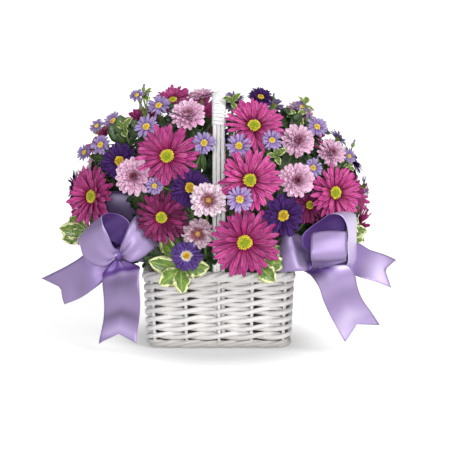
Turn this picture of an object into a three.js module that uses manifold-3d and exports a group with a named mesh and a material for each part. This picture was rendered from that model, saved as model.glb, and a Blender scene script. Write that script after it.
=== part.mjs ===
// A florist's arrangement: a white wicker basket with an arched roped handle, filled with daisy
// chrysanthemums, button chrysanthemums, purple asters, lavender asters and variegated greenery,
// and trimmed with two satin ribbon bows. Millimetres, +Z up, the front of the arrangement faces -Y.
// The origin is the middle of the basket's underside.
import * as THREE from 'three';
import { mergeVertices } from 'three/addons/utils/BufferGeometryUtils.js';
import Module from 'manifold-3d';

const wasm = await Module();
wasm.setup();

const { Vector3 } = THREE;
const vec = (x, y, z) => new Vector3(x, y, z);
const radians = THREE.MathUtils.degToRad;

// ---------------------------------------------------------------- driving dimensions

const GAP = 0.3; // clearance between neighbouring pieces

const BASKET = {
  halfWidth: 76, // at the foot
  halfDepth: 54,
  flare: 3, // how much further out the wall stands at the top
  corner: 16,
  height: 81,
  wall: 7,
  stakes: 14,
  stakeRadius: 1.9,
};
const BASE_TOP = 5;
const UPSETT_TOP = 12;
const RIM_BOTTOM = 72;
const RIM_TOP = 81;
const RIM_PROUD = 2.5; // how far the braided rim stands out from the wall
const RIM_ROUNDING = 1; // how far its edges draw in
const FOOT_PROUD = 1;
const WALL_INSET = 0.5; // on both faces, against the basket's outline
const STAKE_TOP = RIM_TOP - 2; // the stakes end inside the rim

// The handle is a flat arch of rods side by side; its top is the height of its centreline, and bend
// holds the [distance from the middle, height] places that the arch passes above the rim.
const HANDLE = {
  halfWidth: 6.6,
  halfThick: 4.4,
  corner: 3,
  foot: 9,
  top: 262,
  bend: [[48, 140], [49, 190], [36, 238]],
  steps: 18,
};

const LINER = { halfWidth: 65, halfDepth: 37, corner: 12, top: 68, wall: 1.5 };
const TAPER = { x: 4, y: 2 }; // how much narrower the liner and the foam are at the bottom
const FOAM = { halfWidth: 62.5, halfDepth: 34, corner: 9, top: 98, chamfer: 8, topCorner: 6 };

const RIBBON_THICKNESS = 1;

const STEM_RADIUS = 1.6;
const NECK = 1; // where a stem ends, along the head's own axis
const TWIG_RADIUS = STEM_RADIUS * 0.9;
const STEM_SEAT = 14; // how far a stem's cut end stays from the point that the stem aims at

// Stems aim into the foam at a share of their bloom's own distance to the side and of its depth, each
// held within limits. A bloom below lowBloom is aimed at from aimHigh, so that its stem clears the rim,
// and one above highBloom from aimLow.
const AIM = { shareX: 0.36, leastX: HANDLE.halfWidth + 6, mostX: 40, shareY: 0.1, mostY: 8 };
const AIM_HEIGHT = { aimHigh: 80, lowBloom: 110, aimLow: 60, highBloom: 150 };

// The blooms cover a dome, and each is placed where it is seen from the front, or from the back:
// u to the right and v up, on the upright plane that touches the basket's foot.
const DOME = { halfWidth: 150, halfDepth: 98, halfHeight: 112, middle: 150 };
const USUAL_TURN = 0.45;
const VIEWER = { distance: 1600, elevation: radians(8), aimU: 6.5, aimV: 130 };

// ---------------------------------------------------------------- materials

const material = (color, roughness, metalness = 0) =>
  new THREE.MeshStandardMaterial({ color, roughness, metalness });

const WICKER = material(0xf1efe9, 0.6);
const LINER_PLASTIC = material(0x3f5a3c, 0.45);
const FOAM_GREEN = material(0x4c7a45, 0.95);
const SATIN = material(0xa48fd0, 0.35);
const PICK_WOOD = material(0x6f7a45, 0.8);
const GREENERY = material(0x6f9a35, 0.6);
const PETALS = {
  daisy: material(0xcf3a92, 0.6),
  button: material(0xe7b3d6, 0.6),
  aster: material(0x54329b, 0.6),
  lavender: material(0x9a90d8, 0.6),
};

// ---------------------------------------------------------------- solids

/** A closed BufferGeometry as a manifold solid that faces out. */
function solidOf(geometry) {
  const bare = geometry.index ? geometry.toNonIndexed() : geometry.clone();
  bare.deleteAttribute('normal');
  bare.deleteAttribute('uv');
  const merged = mergeVertices(bare, 1e-3);
  const all = merged.index.array;
  const kept = [];
  for (let i = 0; i < all.length; i += 3) {
    const [a, b, c] = all.slice(i, i + 3);
    if (a !== b && b !== c && c !== a) kept.push(a, b, c);
  }
  const triVerts = new Uint32Array(kept);
  const vertProperties = merged.attributes.position.array;
  const corner = (i) => new Vector3().fromArray(vertProperties, triVerts[i] * 3);
  let volume = 0;
  for (let i = 0; i < triVerts.length; i += 3) {
    volume += corner(i).dot(corner(i + 1).cross(corner(i + 2)));
  }
  if (volume < 0) {
    for (let i = 0; i < triVerts.length; i += 3) {
      [triVerts[i + 1], triVerts[i + 2]] = [triVerts[i + 2], triVerts[i + 1]];
    }
  }
  return new wasm.Manifold(new wasm.Mesh({ numProp: 3, vertProperties, triVerts }));
}

function geometryOf(solid) {
  const mesh = solid.getMesh();
  const geometry = new THREE.BufferGeometry();
  geometry.setAttribute('position', new THREE.BufferAttribute(mesh.vertProperties, 3));
  geometry.setIndex(new THREE.BufferAttribute(mesh.triVerts, 1));
  geometry.computeVertexNormals();
  return geometry;
}

const joined = (solids) => solids.reduce((sum, s) => sum.add(s));
const cutBy = (solid, tools) => tools.reduce((rest, t) => rest.subtract(t), solid);

/** The largest of the bodies that a cut leaves. */
function largest(solid) {
  return solid.decompose().reduce((best, body) => (body.volume() > best.volume() ? body : best));
}

/** Skins a row of closed loops that hold as many points each: capped at both ends, or closed on itself. */
function loft(loops, capped = true) {
  const n = loops[0].length;
  const positions = loops.flat().flatMap((p) => [p.x, p.y, p.z]);
  const index = [];
  const bands = capped ? loops.length - 1 : loops.length;
  for (let k = 0; k < bands; k += 1) {
    const next = (k + 1) % loops.length;
    for (let i = 0; i < n; i += 1) {
      const [a, b] = [k * n + i, k * n + ((i + 1) % n)];
      const [c, d] = [next * n + ((i + 1) % n), next * n + i];
      // the far half is split along the other diagonal, so that both faces of a thin strip match
      index.push(...(i < n / 2 ? [a, b, c, a, c, d] : [a, b, d, b, c, d]));
    }
  }
  if (capped) {
    const last = (loops.length - 1) * n;
    for (let i = 1; i < n - 1; i += 1) {
      index.push(0, i + 1, i, last, last + i, last + i + 1);
    }
  }
  const geometry = new THREE.BufferGeometry();
  geometry.setAttribute('position', new THREE.Float32BufferAttribute(positions, 3));
  geometry.setIndex(index);
  return solidOf(geometry);
}

/** A straight round rod from one point to another. */
function rod(from, to, radius, sides = 4, endRadius = radius) {
  const along = to.clone().sub(from);
  const geometry = new THREE.CylinderGeometry(endRadius, radius, along.length(), sides, 1);
  geometry.applyQuaternion(
    new THREE.Quaternion().setFromUnitVectors(vec(0, 1, 0), along.clone().normalize()),
  );
  const middle = from.clone().add(to).multiplyScalar(0.5);
  return solidOf(geometry.translate(middle.x, middle.y, middle.z));
}

// ---------------------------------------------------------------- basket

const flareAt = (z) => (BASKET.flare * z) / BASKET.height;

/** The basket's outline at a height, moved in by inset: a rectangle with round corners. */
function basketLoop(z, inset, cornerSteps = 3) {
  const halfWidth = BASKET.halfWidth + flareAt(z) - inset;
  const halfDepth = BASKET.halfDepth + flareAt(z) - inset;
  return roundedLoop(halfWidth, halfDepth, BASKET.corner - inset, z, cornerSteps);
}

function roundedLoop(halfWidth, halfDepth, radius, z, cornerSteps = 4) {
  const points = [];
  const quarters = [[1, 1], [-1, 1], [-1, -1], [1, -1]];
  quarters.forEach(([sx, sy], quarter) => {
    for (let i = 0; i <= cornerSteps; i += 1) {
      const angle = ((quarter + i / cornerSteps) * Math.PI) / 2;
      const x = sx * (halfWidth - radius) + radius * Math.cos(angle);
      points.push(vec(x, sy * (halfDepth - radius) + radius * Math.sin(angle), z));
    }
  });
  return points;
}

/** A wall between two heights, from an outer inset to an inner one. */
function wallRing(bottom, top, outer, inner) {
  const outside = [basketLoop(bottom, outer), basketLoop(top, outer)];
  const inside = [basketLoop(top, inner), basketLoop(bottom, inner)];
  return loft([...outside, ...inside], false);
}

/** The braided border: a roll that stands out on both sides of the wall, with its edges rounded off. */
function rimSolid() {
  const middle = (RIM_BOTTOM + RIM_TOP) / 2;
  return loft([
    basketLoop(RIM_BOTTOM, RIM_ROUNDING),
    basketLoop(middle, -RIM_PROUD),
    basketLoop(RIM_TOP, RIM_ROUNDING),
    basketLoop(RIM_TOP, BASKET.wall - RIM_ROUNDING),
    basketLoop(middle, BASKET.wall + RIM_ROUNDING),
    basketLoop(RIM_BOTTOM, BASKET.wall - RIM_ROUNDING),
  ], false);
}

/** Places spread evenly along the middle of the wall, the first at the front's middle. */
function stakeFeet(z) {
  const loop = basketLoop(z, BASKET.wall / 2, 8);
  const line = new THREE.CurvePath();
  loop.forEach((p, i) => line.add(new THREE.LineCurve3(p, loop[(i + 1) % loop.length])));
  // the outline runs along the front from left to right
  const tries = line.getSpacedPoints(BASKET.stakes * 50);
  const start = tries.findIndex((p) => p.y < 0 && p.x >= 0) / tries.length;
  return Array.from({ length: BASKET.stakes }, (_, i) => line.getPoint((start + i / BASKET.stakes) % 1));
}

function stakes(radius, top) {
  const feet = stakeFeet(BASE_TOP - 1);
  const heads = stakeFeet(top);
  return feet.map((foot, i) => rod(foot, heads[i], radius));
}

/** The arch's centreline, from the front leg's foot over the top to the back leg's foot. */
function handleCurve() {
  const legAt = (z) => BASKET.halfDepth + flareAt(z) - BASKET.wall - GAP * 2 - HANDLE.halfThick;
  const half = [
    [legAt(HANDLE.foot), HANDLE.foot],
    [legAt(BASKET.height), BASKET.height],
    ...HANDLE.bend,
  ];
  return new THREE.CatmullRomCurve3([
    ...half.map(([y, z]) => vec(0, -y, z)),
    vec(0, 0, HANDLE.top),
    ...half.reverse().map(([y, z]) => vec(0, y, z)),
  ]);
}

/** The handle: a flat band, wider across than it is thick, bent over the basket from front to back. */
function handleSolid(g) {
  const curve = handleCurve();
  const across = vec(1, 0, 0);
  const loops = Array.from({ length: HANDLE.steps + 1 }, (_, i) => {
    const t = i / HANDLE.steps;
    const out = curve.getTangentAt(t).cross(across);
    const section = roundedLoop(HANDLE.halfWidth + g, HANDLE.halfThick + g, HANDLE.corner, 0, 1);
    const middle = curve.getPointAt(t);
    return section.map((p) => middle.clone().addScaledVector(across, p.x).addScaledVector(out, p.y));
  });
  return loft(loops);
}

function linerSolid() {
  const { halfWidth, halfDepth, corner, top, wall } = LINER;
  const bottom = BASE_TOP + GAP;
  const inner = corner - wall;
  return loft([
    roundedLoop(halfWidth - TAPER.x, halfDepth - TAPER.y, corner, bottom, 2),
    roundedLoop(halfWidth, halfDepth, corner, top, 2),
    roundedLoop(halfWidth - wall, halfDepth - wall, inner, top, 2),
    roundedLoop(halfWidth - wall - TAPER.x, halfDepth - wall - TAPER.y, inner, bottom + wall, 2),
  ]);
}

function foamSolid() {
  const { halfWidth, halfDepth, corner, top, chamfer, topCorner } = FOAM;
  const bottom = BASE_TOP + GAP + LINER.wall + GAP;
  return loft([
    roundedLoop(halfWidth - TAPER.x, halfDepth - TAPER.y, corner, bottom, 2),
    roundedLoop(halfWidth, halfDepth, corner, LINER.top, 2),
    roundedLoop(halfWidth, halfDepth, corner, top - chamfer, 2),
    roundedLoop(halfWidth - chamfer, halfDepth - chamfer, topCorner, top, 2),
  ]);
}

// ---------------------------------------------------------------- seen places

/** The viewer's eye and the picture plane's axes, for the front. */
const SIGHT = (() => {
  const { distance, elevation, aimU, aimV } = VIEWER;
  const origin = vec(0, -BASKET.halfDepth, 0);
  const up = vec(0, Math.sin(elevation), Math.cos(elevation));
  const onPlane = (u, v) => origin.clone().add(vec(u, 0, 0)).addScaledVector(up, v);
  const back = vec(0, -Math.cos(elevation), Math.sin(elevation));
  return { onPlane, eye: onPlane(aimU, aimV).addScaledVector(back, distance) };
})();

/** The point at depth y that is seen at (u, v) from the front. */
function seenAt(u, v, y) {
  const ray = SIGHT.onPlane(u, v).sub(SIGHT.eye);
  return SIGHT.eye.clone().addScaledVector(ray, (y - SIGHT.eye.y) / ray.y);
}

/** Where the line of sight through (u, v) meets the dome grown by lift, or passes nearest to it. */
function onDome(u, v, lift) {
  const { halfWidth, halfDepth, halfHeight } = DOME;
  const scale = vec(1 / (halfWidth + lift), 1 / (halfDepth + lift), 1 / (halfHeight + lift));
  const eye = SIGHT.eye.clone().sub(vec(0, 0, DOME.middle)).multiply(scale);
  const ray = SIGHT.onPlane(u, v).sub(SIGHT.eye).multiply(scale);
  const a = ray.dot(ray);
  const b = eye.dot(ray);
  const inside = Math.max(0, b * b - a * (eye.dot(eye) - 1));
  const t = (-b - Math.sqrt(inside)) / a;
  const spot = eye.addScaledVector(ray, t).divide(scale);
  return spot.add(vec(0, 0, DOME.middle));
}

function domeNormal(p) {
  return vec(
    p.x / DOME.halfWidth ** 2,
    p.y / DOME.halfDepth ** 2,
    (p.z - DOME.middle) / DOME.halfHeight ** 2,
  ).normalize();
}

// ---------------------------------------------------------------- blooms

// Each bloom is [u, v, radius, lift, turn]: lift is how far it stands out from the dome, and turn
// how far its face turns from the dome's own direction towards the viewer.
// Blooms of one row grow on one branching stem.
const FRONT = {
  daisy: {
    daisy_left_top: [[-54, 202, 32, 4, 0.3], [-48, 261, 20, -4]],
    daisy_right_top: [[37, 234, 30, 2, 0.3], [32.5, 177, 31, 6, 0.1]],
    daisy_front: [[27, 112, 35, 4]],
    daisy_right: [[122, 164, 29, 4, 0.3], [95, 151, 20, -14, 0.3]],
    daisy_left: [[-133, 160, 31, 0, 0.2]],
    daisy_low_left: [[-60, 138, 27, -1]],
  },
  button: {
    button_left: [[-89, 181, 20, 7]],
    button_top: [[-32, 245, 19, 2, 0.3], [-18, 265, 15, 0, 0.1]],
    button_middle: [[-11, 156, 18.5, 10], [-22, 121, 17, -4]],
    button_right_top: [[83, 218, 18, 4], [118, 206, 15.5, 2]],
    button_right: [[82, 177, 18.5, 7]],
  },
  aster: {
    aster_left: [[-104, 197, 20, 0]],
    aster_middle: [[-30, 169, 20.5, 2], [-34, 98, 16.5, 4]],
    aster_right: [[67.5, 140, 22, 5], [44, 264, 14, -2]],
  },
  lavender: {
    lavender_left_top: [[-63, 255, 13, 4], [-76, 233, 13.5, 5], [-86, 266, 9, 8]],
    lavender_left: [[-111, 239, 12, 7], [-124, 214, 12, 5], [-141, 206, 10, 5], [-128, 234, 9, 8]],
    lavender_handle_left: [[-15.5, 216, 12.5, 3], [-67.5, 171, 9.5, 8]],
    lavender_handle_right: [[21, 213, 13.5, 4], [56, 219, 11, 10]],
    lavender_right_top: [[103, 233, 12, 8], [87, 254, 9, 8]],
    lavender_middle: [[22, 157, 14, 15]],
    lavender_right: [[99, 190, 10.5, 8], [137, 202, 8, 10]],
  },
};
const BACK = {
  daisy: {
    daisy_back_low_left: [[-66, 110, 33, 4], [-138, 150, 27, 0]],
    daisy_back_low_right: [[44, 112, 33, 4], [98, 164, 31, 3], [143, 142, 25, 0, 0.1]],
    daisy_back_left: [[-22, 174, 32, 5], [-88, 206, 30, 2]],
    daisy_back_top: [[26, 232, 30, 2]],
  },
  button: {
    button_back_left: [[-12, 112, 18, 4], [-68, 154, 18, 7]],
    button_back_right: [[96, 116, 18, 4], [40, 176, 19, 7]],
    button_back_side: [[132, 184, 17, 4, 0.1]],
  },
  aster: {
    aster_back_left: [[-110, 112, 19, 2], [-133, 186, 18, 2, 0.1]],
    aster_back_middle: [[6, 205, 19, 8], [62, 146, 18, 9]],
  },
  lavender: {
    lavender_back_left: [[-98, 228, 12, 7], [-142, 170, 12, 4, 0], [-46, 238, 12, 7]],
    lavender_back_top: [[-16, 250, 12, 5], [58, 250, 12, 6], [-62, 250, 10, 8]],
    lavender_back_right: [[112, 232, 12, 7], [74, 184, 12, 9], [146, 172, 12, 6, 0]],
  },
};

// More blooms on the same stems, which the picture doesn't show well. Each is [bearing, climb,
// radius, lift]: bearing is counted round the dome from +X towards the back, and climb upwards.
const SIDE_BLOOMS = {
  daisy_back_low_left: [[2, -14, 25, 3]],
  lavender_right: [[-4, 8, 12, 7], [12, 33, 12, 7]],
  aster_back_left: [[0, 22, 18, 3]],
  button_right_top: [[14, 54, 17, 3]],
  lavender_back_left: [[30, 12, 12, 8]],
  button_back_side: [[178, -16, 18, 4]],
  aster_left: [[182, 8, 18, 5]],
  daisy_left: [[178, 34, 24, 2]],
  daisy_back_top: [[140, 44, 27, 2]],
  lavender_back_right: [[150, 18, 12, 8]],
  lavender_back_top: [[75, 66, 12, 6]],
};

// What each kind's heads look like. fork is how far up a branching stem forks, notch how far its
// outline dips between petals, and profile its [radius, height] places from the stem to the top,
// for a head of radius r, grown by g.
const HEADS = {
  daisy: {
    fork: 0.5,
    notch: 0.24,
    petals: 8,
    profile: (r, g) => [[0, -6 - g], [r + g, r * 0.16 - g], [r + g, r * 0.16 + 1.6 + g],
      [9 + g, 2.4 + g], [0, 6 + g]],
  },
  button: {
    fork: 0.55,
    notch: 0,
    petals: 5,
    profile: (r, g) => [[0, -5 - g], [r + g, 1.5 - g], [r * 0.8 + g, 7 + g], [0, 10.5 + g]],
  },
  aster: {
    fork: 0.6,
    notch: 0,
    petals: 5,
    profile: (r, g) => [[0, -5 - g], [r + g, 1.5 - g], [r + g, 3.2 + g], [0, 6.6 + g]],
  },
  lavender: {
    fork: 0.7,
    notch: 0,
    petals: 3,
    profile: (r, g) => [[0, -4 - g], [r + g, 0.8 - g], [r + g, 2 + g], [0, 4 + g]],
  },
};

/** A head that looks along its normal, its outline notched between the petals, grown by g all round. */
function headSolid(kind, bloom, g) {
  const { notch, petals, profile } = HEADS[kind];
  const points = profile(bloom.radius, g).map(([r, h]) => new THREE.Vector2(r, h));
  const geometry = new THREE.LatheGeometry(points, petals * 2);
  const position = geometry.attributes.position;
  for (let i = 0; i < position.count; i += 1) {
    const meridian = Math.floor(i / points.length) % 2;
    const onOutline = Math.hypot(position.getX(i), position.getZ(i)) > bloom.radius * 0.9;
    const share = onOutline && meridian ? 1 - notch : 1;
    position.setX(i, position.getX(i) * share);
    position.setZ(i, position.getZ(i) * share);
  }
  geometry.applyQuaternion(new THREE.Quaternion().setFromUnitVectors(vec(0, 1, 0), bloom.normal));
  return solidOf(geometry.translate(bloom.place.x, bloom.place.y, bloom.place.z));
}

function bloomOf([u, v, radius, lift, turn = USUAL_TURN], fromBack) {
  const place = onDome(u, v, lift);
  const outward = domeNormal(place);
  const toViewer = SIGHT.eye.clone().sub(place).normalize();
  const normal = outward.clone().lerp(toViewer, turn).normalize();
  if (fromBack) {
    place.set(-place.x, -place.y, place.z);
    normal.set(-normal.x, -normal.y, normal.z);
  }
  return { place, normal, radius };
}

function sideBloomOf([bearing, climb, radius, lift]) {
  const round = radians(bearing);
  const up = radians(climb);
  const out = vec(Math.cos(up) * Math.cos(round), Math.cos(up) * Math.sin(round), Math.sin(up));
  const place = out.multiply(vec(DOME.halfWidth, DOME.halfDepth, DOME.halfHeight));
  place.z += DOME.middle;
  const normal = domeNormal(place);
  return { place: place.addScaledVector(normal, lift), normal, radius };
}

/** The point inside the foam that a stem to this place aims at. */
function stemAim(place) {
  const { clamp, mapLinear } = THREE.MathUtils;
  const { aimHigh, lowBloom, aimLow, highBloom } = AIM_HEIGHT;
  const side = place.x < 0 ? -1 : 1;
  const x = side * clamp(Math.abs(place.x) * AIM.shareX, AIM.leastX, AIM.mostX);
  const y = clamp(place.y * AIM.shareY, -AIM.mostY, AIM.mostY);
  const height = clamp(place.z, lowBloom, highBloom);
  return vec(x, y, mapLinear(height, lowBloom, highBloom, aimHigh, aimLow));
}

/** One stem, from the foam to the underside of its bloom, or forking to several. */
function stemSolid(blooms, forkShare, g) {
  const necks = blooms.map((b) => b.place.clone().addScaledVector(b.normal, NECK));
  const middle = necks.reduce((sum, p) => sum.add(p), vec(0, 0, 0)).divideScalar(necks.length);
  const aim = stemAim(middle);
  const foot = aim.clone().addScaledVector(middle.clone().sub(aim).normalize(), STEM_SEAT);
  if (blooms.length === 1) return rod(foot, necks[0], STEM_RADIUS + g);
  const fork = foot.clone().lerp(middle, forkShare);
  const twigs = necks.map((neck) => {
    const inward = fork.clone().addScaledVector(fork.clone().sub(neck).normalize(), 1);
    return rod(inward, neck, TWIG_RADIUS + g);
  });
  return joined([rod(foot, fork, STEM_RADIUS + g), ...twigs]);
}

function stemPlants(table, fromBack) {
  return Object.entries(table).flatMap(([kind, rows]) =>
    Object.entries(rows).map(([name, row]) => {
      const shown = row.map((bloom) => bloomOf(bloom, fromBack));
      const blooms = [...shown, ...(SIDE_BLOOMS[name] ?? []).map(sideBloomOf)];
      const heads = (g) => joined(blooms.map((b) => headSolid(kind, b, g)));
      return {
        name,
        material: PETALS[kind],
        top: heads(0),
        topRoom: heads(GAP),
        stem: stemSolid(blooms, HEADS[kind].fork, 0),
        stemRoom: stemSolid(blooms, HEADS[kind].fork, GAP),
      };
    }),
  );
}

// ---------------------------------------------------------------- greenery

// A sprig is seen at (u, v) and stands at depth y; its leaves are [clock angle, length, lean].
// The angle turns from straight up towards the right, and lean tips the leaf towards its viewer.
const SPRIGS = {
  greens_front_left: {
    at: [-40, 84, -82],
    leaves: [[-75, 34, 10], [-125, 28, 18], [175, 26, 25], [85, 30, 8], [-32, 42, -6]],
  },
  greens_front_right: {
    at: [42, 88, -84],
    leaves: [[85, 28, 5], [135, 24, 20], [50, 30, -10]],
  },
  greens_left: {
    at: [-138, 122, -20],
    leaves: [[-80, 30, 0], [-105, 28, 5], [-50, 26, -10]],
  },
  greens_right: {
    at: [128, 122, -20],
    leaves: [[85, 28, 0], [110, 26, 5], [50, 26, -10]],
  },
  greens_top_left: {
    at: [-98, 216, -20],
    leaves: [[-10, 30, 0], [-40, 26, 10], [25, 28, 0]],
  },
  greens_back: {
    at: [10, 84, -80],
    fromBack: true,
    leaves: [[-80, 30, 8], [-125, 26, 18], [170, 26, 24], [90, 30, 8], [40, 28, -16]],
  },
};
const LEAF_WIDTH = 17;
const LEAF_THICKNESS = 1.2;
const LEAF_OUTLINE = [[0, 0.16], [0.3, 0.8], [0.65, 1], [1, 0.2]]; // [share of length, share of width]
const LEAF_START = 0.5; // a blade starts this far from the end of its stem

/** A leaf blade from its base along a direction, widest past the middle, facing n. */
function leafSolid(base, along, n, length, g) {
  const side = along.clone().cross(n).normalize();
  const face = side.clone().cross(along).normalize();
  return loft(LEAF_OUTLINE.map(([share, width]) => {
    const grown = share < 0.5 ? -g : g;
    const middle = base.clone().addScaledVector(along, share * length + (share % 1 ? 0 : grown));
    const half = (LEAF_WIDTH / 2) * width + g;
    const thick = LEAF_THICKNESS / 2 + g;
    return [
      middle.clone().addScaledVector(side, half),
      middle.clone().addScaledVector(face, thick),
      middle.clone().addScaledVector(side, -half),
      middle.clone().addScaledVector(face, -thick),
    ];
  }));
}

function greenPlants() {
  return Object.entries(SPRIGS).map(([name, { at, leaves, fromBack }]) => {
    const turn = fromBack ? -1 : 1;
    const node = seenAt(...at);
    node.set(node.x * turn, node.y * turn, node.z);
    const viewer = vec(0, -turn, 0);
    const blades = (g) => leaves.map(([clock, length, lean]) => {
      const flat = vec(turn * Math.sin(radians(clock)), 0, Math.cos(radians(clock)));
      const along = flat.multiplyScalar(Math.cos(radians(lean)));
      along.addScaledVector(viewer, Math.sin(radians(lean)));
      return leafSolid(node.clone().addScaledVector(along, LEAF_START), along, viewer, length, g);
    });
    const aim = stemAim(node);
    const foot = aim.clone().addScaledVector(node.clone().sub(aim).normalize(), STEM_SEAT);
    const stem = (g) => rod(foot, node, STEM_RADIUS + g);
    return {
      name,
      material: GREENERY,
      top: joined(blades(0)),
      topRoom: joined(blades(GAP)),
      stem: stem(0),
      stemRoom: stem(GAP),
    };
  });
}

// ---------------------------------------------------------------- ribbon bows

// Each bow is placed by [u, v] as seen from the front, and y, its depth.
// A loop or tail is a row of [edge, opposite edge] places along the ribbon: a loop leaves the knot
// at its front and comes back to it behind, and a tail runs from the knot to its forked end.
const BOWS = {
  bow_left: {
    knot: [-105, 100, -78],
    pickFoot: [-34, -14, 84],
    loops: {
      loop_left: [
        [[-104.6, 104, -82], [-110.5, 94, -82]],
        [[-110.5, 107, -89], [-122, 86, -83]],
        [[-116, 119, -94], [-140, 94, -82]],
        [[-122, 132, -93], [-146, 109.5, -79]],
        [[-121, 141, -82], [-148, 115, -70]],
        [[-107, 142, -67], [-131, 119, -52]],
        [[-94, 133, -64], [-118, 110, -50]],
        [[-96, 119, -68], [-112, 102, -58]],
        [[-102, 106, -75], [-109, 97, -71]],
      ],
      loop_right: [
        [[-104, 104, -82], [-98.7, 95.4, -82]],
        [[-101, 114, -88], [-91.6, 90.7, -87]],
        [[-95, 128, -88], [-78.7, 97, -87]],
        [[-88, 139, -82], [-67, 106, -82]],
        [[-82, 139.5, -73], [-62.5, 107.5, -73]],
        [[-85, 135, -63], [-66, 102, -62]],
        [[-93, 124, -59], [-80, 92, -61]],
        [[-101, 106, -70], [-98, 97, -70]],
      ],
      loop_back: [
        [[-109, 103, -68], [-101, 103, -68]],
        [[-118, 116, -48], [-88, 116, -48]],
        [[-121, 138, -50], [-86, 137, -50]],
        [[-120, 156, -53], [-85, 153, -52]],
        [[-119, 165, -51], [-84, 162, -50]],
        [[-118, 157, -47], [-84, 154, -46]],
        [[-117, 138, -45], [-85, 136, -45]],
        [[-112, 114, -43], [-92, 113, -43]],
        [[-107, 100, -66], [-101, 98, -66]],
      ],
    },
    tails: {
      tail_side: [
        [[-108, 101, -71], [-104, 90, -71]],
        [[-134, 102, -70], [-121, 71, -76]],
        [[-150, 93, -70], [-136, 59.4, -77]],
        [[-166, 84, -64], [-149, 51.6, -72]],
        [[-185.5, 74.2, -56], [-161, 47.2, -64]],
      ],
      tail_down: [
        [[-111, 92, -79], [-99, 93, -79]],
        [[-121, 80.5, -79], [-84, 87, -83]],
        [[-122, 72, -82], [-83, 81, -91]],
        [[-121, 59, -86], [-83, 65, -97]],
        [[-121, 46, -86], [-83, 48, -97]],
        [[-121.3, 30, -79], [-83.6, 30, -90]],
        [[-123.5, 16, -75], [-85, 16, -86]],
        [[-126, 5, -78], [-86, 5.5, -89]],
      ],
    },
  },
  bow_right: {
    knot: [96, 85, -78],
    pickFoot: [34, -14, 84],
    loops: {
      loop_left: [
        [[88.5, 118, -67], [97, 85, -73]],
        [[83, 120.5, -70], [94.5, 83, -79]],
        [[78, 121, -76], [92, 82, -87]],
        [[73.5, 121, -82], [83, 81.4, -90]],
        [[68.5, 120.6, -80], [69, 80.8, -85]],
        [[66.5, 119.6, -72], [61.5, 81, -75]],
        [[72, 119, -63], [68, 82.5, -66]],
        [[84, 118, -60], [84, 83.5, -64]],
        [[89, 116, -62], [92, 86, -68]],
      ],
      loop_front: [
        [[96.6, 86, -83], [104, 87, -81]],
        [[98, 89.5, -95], [131, 91.5, -88]],
        [[97, 93.5, -106], [133.5, 95, -97]],
        [[96.6, 100, -111], [134.3, 100.5, -100]],
        [[96.6, 111, -107], [134.3, 111.5, -97]],
        [[97, 118.5, -101], [134.3, 120, -93]],
        [[98, 121.5, -95], [133, 123, -91]],
        [[100, 118, -90], [130, 119.5, -88]],
        [[101, 109, -88], [129, 110, -85]],
        [[100, 98, -86], [125, 98, -81]],
        [[98, 90, -83], [107, 90, -80]],
      ],
      loop_side: [
        [[104, 86, -77], [106, 88, -70]],
        [[124, 84, -75], [130, 86, -56]],
        [[135, 90, -79], [144, 91, -49]],
        [[135, 107, -82], [144.6, 107, -52]],
        [[135.5, 122, -88], [144.6, 122, -58]],
        [[133, 133.5, -94], [144.8, 133.5, -63]],
        [[127, 140.5, -95], [143.2, 141, -66]],
        [[116, 141, -91], [138.2, 143, -69]],
        [[107, 135, -86], [134, 137.5, -70]],
        [[96, 127.5, -81], [135, 129, -69]],
        [[88, 119.5, -77], [131, 118.5, -66]],
        [[87.5, 110, -74], [125, 107.5, -63]],
        [[91.5, 99, -73], [118, 98, -64]],
        [[95, 91, -74], [106, 92, -68]],
      ],
    },
    tails: {
      tail_side: [
        [[103, 92, -71], [103, 82, -73]],
        [[140, 112, -50], [136, 79.5, -69]],
        [[161, 103, -54], [152.8, 73.6, -72]],
        [[186.4, 93.5, -50], [181.2, 64.1, -70]],
      ],
      tail_down: [
        [[91, 81, -84], [103, 82, -84]],
        [[97, 76, -91], [132, 88, -86]],
        [[105.6, 64, -97], [143, 78, -86]],
        [[110.5, 50, -98], [146, 66, -87]],
        [[117, 34, -92], [150.5, 52, -81]],
        [[124.5, 20.5, -88], [160, 38.5, -77]],
        [[132.9, 7.4, -91], [169.6, 25.2, -80]],
      ],
    },
  },
};
const KNOT_RADIUS = 8;
const PICK_IN_KNOT = 2.4; // how deep a pick's top sits under the knot's skin
const FORK_DEPTH = 11;
const FORK_OVERRUN = 4; // how far the forking wedge runs past the tail's end

/** A ribbon's solid, from stations that hold its middle, the vector across and the ribbon's face. */
function ribbonSolid(stations, g) {
  const last = stations.length - 1;
  const ends = { 0: [stations[0], stations[1]], [last]: [stations[last], stations[last - 1]] };
  const sections = stations.map(({ middle: onLine, across, face }, i) => {
    const middle = onLine.clone();
    if (g && ends[i]) {
      const [end, beside] = ends[i];
      middle.add(end.middle.clone().sub(beside.middle).setLength(g));
    }
    const half = across.clone().setLength(across.length() + g);
    const thick = face.clone().setLength(RIBBON_THICKNESS / 2 + g);
    return [
      middle.clone().add(half).add(thick),
      middle.clone().sub(half).add(thick),
      middle.clone().sub(half).sub(thick),
      middle.clone().add(half).sub(thick),
    ];
  });
  return joined(sections.slice(1).map((section, i) => loft([sections[i], section])));
}

function ribbonStations(edges) {
  const pairs = edges.map(([a, b]) => [seenAt(...a), seenAt(...b)]);
  const middles = pairs.map(([a, b]) => a.clone().add(b).multiplyScalar(0.5));
  return pairs.map(([a, b], i) => {
    const along = middles[Math.min(i + 1, middles.length - 1)].clone().sub(middles[Math.max(i - 1, 0)]);
    const across = b.clone().sub(a).multiplyScalar(0.5);
    return { middle: middles[i], across, face: across.clone().cross(along) };
  });
}

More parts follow.
